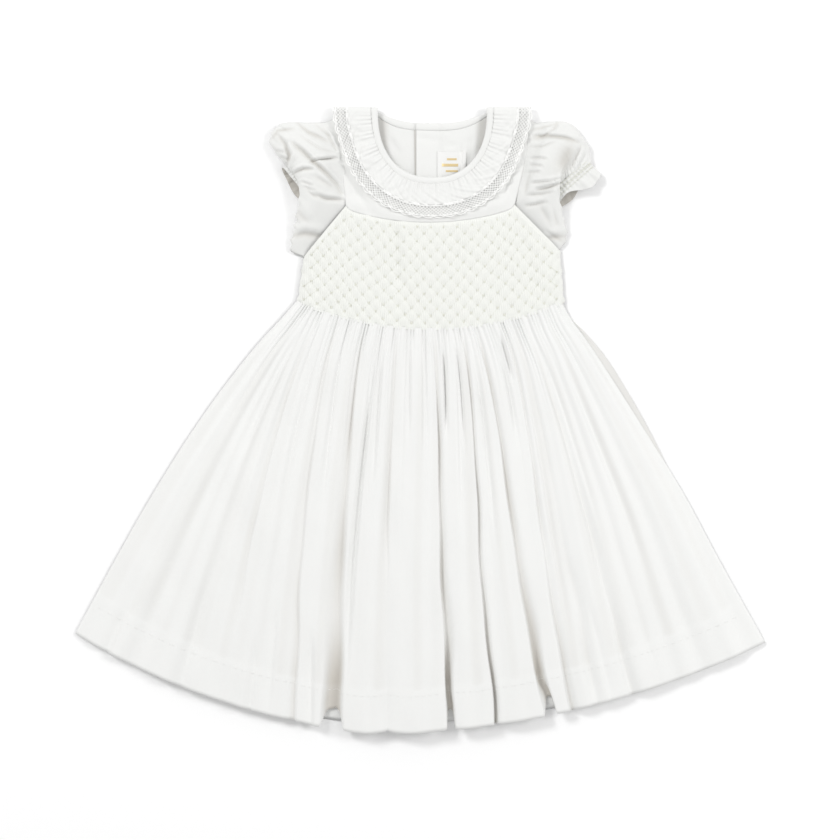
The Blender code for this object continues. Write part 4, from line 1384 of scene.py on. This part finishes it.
# %% Collar lace
MESH_PITCH = 3.3
MESH_ROWS = 4
SCALLOP_EVERY = 3
NET_END = LACE_END - 1.6
LACE_MIDDLE = 31.0
NET_LIFT = 0.1
BAND_LIFT = 0.15
LaceBand = namedtuple("LaceBand", "out wave")
LACE_BANDS = (
    LaceBand(FRILL_END - 0.3, 0.0),
    LaceBand(FRILL_END + 0.8, 0.0),
    LaceBand(NET_END, 1.7),
    LaceBand(NET_END - 1.0, 0.9),
)


def lace_cells():
    length = even_walk(50, LACE_MIDDLE, FRILL_ENDS)[1][-1]
    count = int(length / MESH_PITCH) // SCALLOP_EVERY * SCALLOP_EVERY
    return even_walk(2 * count + 1, LACE_MIDDLE, FRILL_ENDS)


def lace_net():
    steps, run = lace_cells()
    outs = lerp(FRILL_END - 0.6, NET_END, shares(MESH_ROWS * 2))
    lines = []
    for k in range(MESH_ROWS * 2):
        for i in range(k % 2, len(steps) - 1, 2):
            for step in (-1, 1):
                j = i + step
                if 0 <= j < len(steps):
                    ends = [(steps[i], run[i], outs[k]), (steps[j], run[j], outs[k + 1])]
                    places = [[lerp(a, b, s) for a, b in zip(*ends)] for s in (0.0, 0.5, 1.0)]
                    lines.append([collar_point(*place, NET_LIFT) for place in places])
    return np.array(lines)


def lace_band(out, wave):
    """One long strand round the collar, straight or scalloped."""
    steps, run = even_walk(1500, LACE_MIDDLE, FRILL_ENDS)
    phase = run / (SCALLOP_EVERY * MESH_PITCH)
    bow = wave * np.abs(np.sin(math.pi * phase))
    return np.array([collar_point(t, r, out + b, BAND_LIFT) for t, r, b in zip(steps, run, bow)])


net = strands("lace_net", lace_net(), (0.5, 0.38, 0.5), 4, lace_cotton, 0.4)
lace_edge = strands(
    "lace_edges", [lace_band(*row) for row in LACE_BANDS], 0.55, 5, lace_cotton, 0.5
)
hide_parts("collar_lace")

# %% [markdown]
# A puff sleeve is a wide piece gathered at both ends: into the armhole's top and into the
# cuff. Laid flat it is a soft bag, full in the middle, with drag lines that run from the
# gathers. The tables give its outline from armhole to cuff, how far each section bows
# towards the body and how high the puff stands. The crease tables hold its drag lines.

# %% Sleeve tables
SleeveRow = namedtuple("SleeveRow", "share top_x top_y under_x under_y bow puff")
LEFT_SLEEVE = (
    SleeveRow(0.0, -76.0, 284.0, -108.0, 151.0, 0.0, 1.8),
    SleeveRow(0.2, -87.0, 276.5, -120.7, 157.0, 10.0, 8.0),
    SleeveRow(0.4, -105.5, 275.5, -119.5, 168.0, 19.0, 12.5),
    SleeveRow(0.6, -127.0, 275.0, -116.5, 181.0, 21.0, 14.0),
    SleeveRow(0.8, -139.0, 262.0, -113.5, 194.0, 14.0, 13.0),
    SleeveRow(0.92, -135.5, 249.0, -109.5, 201.0, 7.0, 9.0),
    SleeveRow(1.0, -127.0, 239.0, -106.0, 206.0, 2.0, 4.6),
)
RIGHT_SLEEVE = (
    SleeveRow(0.0, 97.0, 284.0, 130.0, 157.0, 0.0, 1.8),
    SleeveRow(0.2, 108.0, 275.5, 136.5, 166.0, 8.0, 8.0),
    SleeveRow(0.4, 122.0, 276.5, 136.5, 178.0, 14.0, 12.5),
    SleeveRow(0.6, 140.0, 275.0, 133.0, 188.5, 15.0, 14.5),
    SleeveRow(0.8, 152.0, 262.0, 128.5, 193.5, 10.0, 13.0),
    SleeveRow(0.92, 157.5, 249.0, 122.5, 199.0, 8.0, 5.4),
    SleeveRow(1.0, 158.5, 238.0, 117.5, 204.0, 2.5, 2.4),
)
LEFT_FOLDS = (
    Crease(3.2, 2.0, ((-113.8, 275.5), (-102.5, 265.7), (-85.4, 257.7))),
    Crease(3.4, 1.8, ((-136.5, 261.0), (-131.6, 267.7), (-117.7, 269.0))),
    Crease(3.2, 2.0, ((-131.0, 263.0), (-123.7, 253.8), (-120.4, 244.5), (-122.4, 236.0))),
    Crease(
        3.6,
        2.2,
        ((-119.7, 256.4), (-107.8, 247.2), (-99.9, 239.2), (-89.3, 230.0), (-77.4, 218.1), (-72.6, 208.9)),
    ),
    Crease(3.4, 1.3, ((-99.9, 238.2), (-93.3, 239.9), (-77.4, 242.6))),
    Crease(3.0, 1.5, ((-116.5, 227.5), (-107.8, 231.3), (-99.0, 231.0))),
    Crease(3.2, 1.7, ((-97.0, 208.0), (-86.7, 204.4), (-72.2, 203.8))),
    Crease(2.6, 1.3, ((-90.0, 271.0), (-84.0, 261.7), (-77.4, 249.8))),
    Crease(1.8, 1.2, ((-96.0, 273.0), (-89.0, 266.0), (-82.0, 262.0))),
    Crease(3.4, 3.2, ((-118.5, 170.0), (-106.5, 172.4), (-90.0, 169.6))),
    Crease(1.6, 3.6, ((-114.4, 193.0), (-103.9, 182.4))),
    Crease(1.8, 1.2, ((-106.5, 215.0), (-97.0, 211.0))),
    Crease(1.6, 1.1, ((-109.0, 219.5), (-99.0, 216.0))),
    Crease(1.6, 1.1, ((-104.0, 211.5), (-95.0, 205.0))),
    Crease(1.4, 2.2, ((-126.0, 252.0), (-118.0, 238.0))),
    Crease(1.5, 2.4, ((-96.0, 224.0), (-80.0, 214.0))),
    Crease(1.3, 1.6, ((-110.0, 262.0), (-92.0, 250.0), (-80.0, 247.0))),
    Crease(1.4, 1.2, ((-129.0, 243.5), (-121.0, 240.0))),
    Crease(1.4, 1.2, ((-134.0, 250.0), (-126.0, 247.0))),
)
RIGHT_FOLDS = (
    Crease(2.6, 1.6, ((104.0, 269.0), (113.6, 270.5), (121.6, 272.3), (127.5, 275.5))),
    Crease(3.0, 1.5, ((104.0, 263.6), (113.6, 262.4), (122.9, 268.0), (127.5, 274.5))),
    Crease(3.8, 1.9, ((104.7, 260.6), (117.6, 262.4), (133.5, 260.4), (147.5, 256.6))),
    Crease(3.8, 6.5, ((138.7, 251.0), (129.5, 231.0))),
    Crease(2.6, 1.7, ((149.3, 253.5), (142.7, 239.0), (138.7, 231.3))),
    Crease(1.8, 1.4, ((153.5, 247.0), (147.0, 234.0))),
    Crease(2.0, 1.3, ((103.0, 218.4), (120.0, 219.8), (133.5, 223.6))),
    Crease(3.6, 1.7, ((108.0, 212.0), (118.0, 214.2), (131.0, 218.6))),
    Crease(2.0, 1.2, ((99.0, 207.8), (112.0, 208.6), (122.0, 210.6))),
    Crease(2.4, 1.3, ((98.0, 198.2), (107.0, 199.4), (116.0, 201.5))),
    Crease(3.0, 2.6, ((119.0, 168.0), (129.0, 170.0), (138.0, 169.2))),
    Crease(1.4, 1.8, ((117.0, 175.0), (134.0, 163.5))),
    Crease(1.5, 1.2, ((102.0, 253.0), (112.0, 252.0), (123.0, 256.0))),
    Crease(1.3, 1.2, ((102.0, 242.5), (116.0, 240.5))),
    Crease(1.3, 1.1, ((101.5, 236.0), (112.0, 234.0))),
    Crease(1.2, 1.1, ((100.0, 229.0), (110.0, 228.5))),
    Crease(1.6, 2.6, ((112.0, 196.0), (119.0, 184.0))),
    Crease(1.4, 2.0, ((124.0, 192.0), (126.0, 180.0))),
    Crease(1.4, 2.0, ((101.0, 226.0), (96.5, 208.0))),
)
print("drag lines:", len(LEFT_FOLDS), "on the left sleeve,", len(RIGHT_FOLDS), "on the right")

# %% [markdown]
# In plan a sleeve runs along from the armhole to the cuff, and down from its top to the
# underarm. Two shares, along and down, name any place on it. The armhole end follows the
# seam, and the rest follows the table. Fine gathers stand at the head and at the cuff.

# %% Plan and gathers of a sleeve
SLEEVE_DEEP = 150.0
HEAD_PITCH = 4.2
WRIST_GATHERS = 15.0


def sleeve_plan(side, rows, along, down):
    """The flat sleeve: along from armhole to cuff, down from its top to the underarm."""
    top = np.stack([read(rows, "top_x", along), read(rows, "top_y", along)], axis=-1)
    under = np.stack([read(rows, "under_x", along), read(rows, "under_y", along)], axis=-1)
    seam = np.stack(seam_xy(side, down), axis=-1)
    first, last = rows[0], rows[-1]
    chord_x = lerp(first.top_x, first.under_x, down)
    chord_y = lerp(first.top_y, first.under_y, down)
    pull = (seam - np.stack([chord_x, chord_y], axis=-1)) * ((1.0 - along) ** 2)[..., None]
    cuff = np.array([last.under_x - last.top_x, last.under_y - last.top_y])
    inward = np.array([side * cuff[1], -side * cuff[0]]) / np.hypot(*cuff)
    bow = (read(rows, "bow", along) * hump(down, 1.0))[..., None]
    return lerp(top, under, down[..., None]) + pull + inward * bow


def sleeve_gathers(side, along, down):
    """Fine gathers at the sleeve's head and at its cuff."""
    place = down * SLEEVE_DEEP
    phase = place / HEAD_PITCH + 0.4 * wander(place, 51 + side, 17.0, 29.0)
    head = np.abs(np.sin(math.pi * phase)) ** 0.7
    head = 1.5 * (head - 0.6) * np.exp(-along / 0.16) * (1.0 - ease((down - 0.25) / 0.2))
    phase = down * WRIST_GATHERS + 0.4 * wander(place, 61 + side, 23.0, 31.0)
    wrist = np.abs(np.sin(math.pi * phase)) ** 0.8
    wrist = 1.6 * (wrist - 0.6) * np.exp(-(1.0 - along) / 0.11) * hump(down, 0.3)
    return head + wrist


left_plan = sleeve_plan(-1, LEFT_SLEEVE, np.array([0.5]), np.array([0.5]))
print("middle of the left sleeve:", left_plan.round(1).tolist(), "mm")

# %% [markdown]
# Each sleeve is one closed tube of points, its front half domed by the puff and its back half
# flat on the back of the dress. The puff could be blown up by a simulation, but its drag
# lines come from the sewing, so they are pressed into the dome from the tables. Painted
# shade makes their bottoms a little darker.

# %% Puff sleeves
FOLD_SHADE = 0.14
SIDE_LEVEL = 3.0
FOLD_LEVEL = 5.0
SLEEVE_AROUND = 200
SLEEVE_ROWS = 90
SLEEVE_CLEAR = 0.8


def sleeve_grid(side, rows, folds):
    around = np.arange(SLEEVE_AROUND) / SLEEVE_AROUND
    front = (around <= 0.5)[None, :]
    down = (1.0 - np.abs(2.0 * around - 1.0))[None, :] + np.zeros((SLEEVE_ROWS + 1, 1))
    along = shares(SLEEVE_ROWS)[:, None] + np.zeros((1, SLEEVE_AROUND))
    plan = sleeve_plan(side, rows, along, down)
    x = plan[..., 0] - side * 1.5 * (1.0 - along)
    y = plan[..., 1]
    at_body = (1.0 - along) ** 2
    level = lerp(FOLD_LEVEL, lerp(FOLD_LEVEL, SIDE_LEVEL - 0.5, down), at_body)
    puff = read(rows, "puff", along) * hump(down, 0.62)
    folded = creased(x, y, folds)
    dome = folded + sleeve_gathers(side, along, down)
    dome += 0.5 * wander(x + 0.7 * y, 71 + side, 33.0, 51.0, 24.0)
    limit = hump(down, 0.5)
    above = level + puff + dome * limit
    rest = back_lift(x, y) + SLEEVE_CLEAR
    below = lerp(level, rest, hump(down, 0.35))
    edge = read(rows, "puff", along) * 0.12 * wander(y + x, 81 + side, 14.0, 9.0)
    z = np.where(front, np.maximum(above, rest + 1.2), below)
    x = x + side * edge * (1.0 - limit) * np.minimum(along * 3.0, 1.0)
    tone = np.where(front, np.clip(FOLD_SHADE * folded, -0.6, 0.0), 0.0)
    return np.stack([x, y, z], axis=-1), tone


sleeves = {}
for side, name, rows, folds in (
    (-1, "sleeve_left", LEFT_SLEEVE, LEFT_FOLDS),
    (1, "sleeve_right", RIGHT_SLEEVE, RIGHT_FOLDS),
):
    points, tone = sleeve_grid(side, rows, folds)
    points, tone = points[:, ::-side], tone[:, ::-side]
    piece = sheet_of_cloth(name + "_cloth", points, shaded_puff_cotton, wall=0.5, ring=True, tone=tone)
    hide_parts(name)
    sleeves[piece] = points

# %% [markdown]
# The cuff is the sleeve's own end: close rows of gathering hold it, and past them the cloth
# flares out in a small frill. The table gives the gathered line and how far the frill
# reaches in front and behind, at its top and at the underarm, because it has turned so that
# its far side shows below.

# %% Shape of a cuff
Cuff = namedtuple("Cuff", "top under front_top front_under back_top back_under")
LEFT_CUFF = Cuff((-123.0, 236.0), (-105.0, 207.0), 3.0, 1.2, 7.5, 9.0)
RIGHT_CUFF = Cuff((160.5, 234.5), (124.5, 203.0), 14.5, 2.0, 3.0, 10.5)
CUFF_BAND = 8.5
CUFF_SHADE = 0.85
CUFF_AROUND = 240
CUFF_ROWS = 22
CUFF_HALF = 4.4
CUFF_LOWEST = 0.6


def cuff_point(side, cuff, turn, out):
    """A place on the cuff: turn 0 at its top, pi/2 in front, pi under; out from its line."""
    top = np.array(cuff.top)
    under = np.array(cuff.under)
    down = (1.0 - math.cos(turn)) / 2.0
    line = under - top
    away = np.array([line[1], -line[0]]) * (-side) / np.hypot(*line)
    flare = max(out, 0.0)
    ripple = wander(np.array(turn), 91 + side, 0.78, 0.55) * 1.5 * min(flare / 6.0, 1.0)
    tight = 0.45 * math.cos(turn * 34.0) * math.exp(-flare / 3.0)
    half = CUFF_HALF + float(ripple) + tight
    plan = top + line * down + away * out
    plan = plan + line / np.hypot(*line) * 0.16 * flare * (2.0 * down - 1.0)
    return plan[0], plan[1], FOLD_LEVEL + half * math.sin(turn)


def cuff_reach(cuff, turn):
    down = (1.0 - math.cos(turn)) / 2.0
    swing = float(ease((down - 0.25) / 0.5))
    front = lerp(cuff.front_top, cuff.front_under, swing)
    behind = lerp(cuff.back_top, cuff.back_under, swing)
    return lerp(behind, front, 0.5 + 0.5 * math.sin(turn))


def cuff_grid(side, cuff):
    """The cuff's points, and its tone: the far half is seen from inside, with painted shade."""
    turns = 2.0 * math.pi * np.arange(CUFF_AROUND) / CUFF_AROUND
    grid = []
    for share in shares(CUFF_ROWS):
        row = []
        for turn in turns:
            out = lerp(-CUFF_BAND, cuff_reach(cuff, turn), share)
            row.append(cuff_point(side, cuff, turn, out))
        grid.append(row)
    grid = np.array(grid)
    grid[..., 2] = np.maximum(grid[..., 2], CUFF_LOWEST)
    beyond = ease((shares(CUFF_ROWS) - 0.25) / 0.3)[:, None]
    tone = -CUFF_SHADE * ease(-np.sin(turns) / 0.4)[None, :] * beyond
    return grid[:, ::-side], tone[:, ::-side]


for name, cuff in (("left", LEFT_CUFF), ("right", RIGHT_CUFF)):
    print(name, "cuff is", round(math.dist(cuff.top, cuff.under), 1), "mm deep, laid flat")

# %% [markdown]
# The gathers of the cuff are held by four rows of slanting stitches, each row leaning the
# other way from the last. They are strands that take their places from the cuff's own shape.

# %% Cuffs and their stitches
STITCH_LINES = (-7.4, -5.2, -3.0, -0.8)
STITCH_COUNT = 26
STITCH_TURN = 0.10
STITCH_SLANT = 0.8
STITCH_LIFT = 0.5
STITCH_RADII = (0.18, 0.4, 0.18)


def cuff_rows(side, cuff):
    """Rows of small slanting stitches across the gathered band."""
    lines = []
    for k, out in enumerate(STITCH_LINES):
        for step in range(STITCH_COUNT):
            turn = math.pi * (step + 0.5 * (k % 2) + 0.5) / (STITCH_COUNT + 0.5)
            slant = STITCH_SLANT if k % 2 else -STITCH_SLANT
            ends = [(turn, out), (turn + STITCH_TURN, out + slant)]
            line = []
            for s in (0.0, 0.5, 1.0):
                place = [lerp(a, b, s) for a, b in zip(*ends)]
                x, y, z = cuff_point(side, cuff, *place)
                line.append((x, y, z + STITCH_LIFT))
            lines.append(line)
    return np.array(lines)


cuffs = []
for side, name, cuff in ((-1, "cuff_left", LEFT_CUFF), (1, "cuff_right", RIGHT_CUFF)):
    points, tone = cuff_grid(side, cuff)
    band = sheet_of_cloth(
        name + "_cloth", points, shaded_puff_cotton, wall=0.45, ring=True, tone=tone
    )
    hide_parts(name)
    rows = strands(name + "_stitches", cuff_rows(side, cuff), STITCH_RADII, 5, ivory_thread)
    cuffs.append((band, points, rows))

# %% [markdown]
# A small satin label is sewn inside the back of the neck. It carries no words: three plain
# gold bars of different lengths stand in for a print.

# %% Neck label
GoldBar = namedtuple("GoldBar", "across up length height")
GOLD_BARS = (
    GoldBar(0.50, 0.72, 9.0, 2.0),
    GoldBar(0.44, 0.50, 15.0, 2.8),
    GoldBar(0.50, 0.28, 11.0, 2.0),
)
LABEL_RISE = 0.75
BAR_RISE = 0.3
gold = plain_material("gold_print", (0.78, 0.62, 0.34, 1.0), 0.45)
gold.node_tree.nodes["Principled BSDF"].inputs["Metallic"].default_value = 0.5


def label_height(x, y):
    return back_level(x, y, 1) + LABEL_RISE + pressed(x, y, BACK_FOLDS)


def label_grid():
    low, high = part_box("neck_label")
    x = lerp(low.x / MM, high.x / MM, shares(40))[None, :] + np.zeros((33, 1))
    y = lerp(high.y / MM, low.y / MM, shares(32))[:, None] + np.zeros((1, 41))
    return np.stack([x, y, label_height(x, y)], axis=-1)


def gold_bar_lines():
    low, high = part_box("neck_label")
    lines = []
    for bar in GOLD_BARS:
        middle = lerp(low.x, high.x, bar.across) / MM
        x = middle + bar.length * (shares(12) - 0.5)
        y = np.full_like(x, lerp(low.y, high.y, bar.up) / MM)
        lines.append(np.stack([x, y, label_height(x, y) + BAR_RISE], axis=-1))
    return np.array(lines)


label_points = label_grid()
label = sheet_of_cloth("neck_label_satin", label_points, satin, wall=0.3)
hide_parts("neck_label")
bar_halves = np.array([[bar.height / 2.0] for bar in GOLD_BARS])
bars = strands("label_bars", gold_bar_lines(), bar_halves, 8, gold, 0.12)

# %% [markdown]
# Four buttons close the back. The dress lies on them, so they are seen from below. A button
# is turned like a tiny bowl: a rounded rim, a shallow dish and four holes, with thread
# crossing between them. Small dark discs in the holes are painted shade for their depth.

# %% Buttons
BUTTON_SIDES = 40
ButtonRing = namedtuple("ButtonRing", "radius height")
BUTTON_RINGS = (
    ButtonRing(0.0, 0.55),
    ButtonRing(2.6, 0.5),
    ButtonRing(3.6, 0.12),
    ButtonRing(4.4, 0.0),
    ButtonRing(4.85, 0.3),
    ButtonRing(5.0, 1.0),
    ButtonRing(4.7, 1.8),
    ButtonRing(3.6, 2.2),
    ButtonRing(0.0, 2.25),
)
MIDDLE_HOLE = 0.02
HOLE_OFFSET = 0.95
HOLE_LEVELS = (0.47, 0.53)
THREAD_LEVEL = 0.42
pearl = cloth_finish("button_pearl", (0.86, 0.86, 0.84), 0.22, 0.0, 0.02)
hole_shade = plain_material("button_hole_shade", (0.25, 0.24, 0.22, 1.0), 0.8)


def button_grid(x, y):
    turns = 2.0 * math.pi * np.arange(BUTTON_SIDES) / BUTTON_SIDES
    grid = []
    for row in BUTTON_RINGS:
        r = max(row.radius, MIDDLE_HOLE)
        grid.append([(x + r * math.cos(a), y + r * math.sin(a), row.height) for a in turns])
    return np.array(grid)


def button_lines(x, y):
    spots = [(x + i * HOLE_OFFSET, y + j * HOLE_OFFSET) for i in (-1, 1) for j in (-1, 1)]
    holes = [[(*spot, level) for level in HOLE_LEVELS] for spot in spots]
    crosses = [
        [(*spots[a], THREAD_LEVEL), (x, y, 0.2 + 0.1 * a), (*spots[b], THREAD_LEVEL)]
        for a, b in ((0, 3), (1, 2))
    ]
    return np.array(holes), np.array(crosses)


for number in range(1, 5):
    node = f"button_{number}"
    low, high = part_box(node)
    x, y = (low.x + high.x) / 2.0 / MM, (low.y + high.y) / 2.0 / MM
    button = sheet_of_cloth(node + "_shell", button_grid(x, y), pearl, ring=True)
    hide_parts(node)
    holes, crosses = button_lines(x, y)
    strands(node + "_hole_shade", holes, 0.42, 12, hole_shade)
    strands(node + "_thread", crosses, 0.18, 6, white_thread)

# %% [markdown]
# Last, each sheet prints what cut of cloth it shows and how much of it the mesh fills. A
# gathered piece shows less than its whole cut, because its finest pleats are pressed
# together.

# %% Cuts of cloth
def declare(piece, grid, ring=False):
    """States the cut that a mesh shows: its longest row by its longest column, and its area."""
    rows = np.concatenate([grid, grid[:, :1]], axis=1) if ring else grid
    wide = np.linalg.norm(np.diff(rows, axis=1), axis=2).sum(axis=1).max() * MM
    long = np.linalg.norm(np.diff(grid, axis=0), axis=2).sum(axis=0).max() * MM
    area = min(sum(face.area for face in piece.data.polygons), wide * long)
    filled = area / (wide * long)
    print(f"{piece.name}: shows {wide / MM:.0f} x {long / MM:.0f} mm, {filled:.0%} of it filled")


declare(skirt_back, back_points)
declare(skirt_front, skirt_points)
for half, points in halves.items():
    declare(half, points)
declare(chest, chest_points)
declare(yoke, yoke_points)
declare(binding, binding_points, ring=True)
declare(frill, frill_points)
for piece, points in sleeves.items():
    declare(piece, points, ring=True)
for band, points, rows in cuffs:
    declare(band, points, ring=True)
declare(label, label_points)
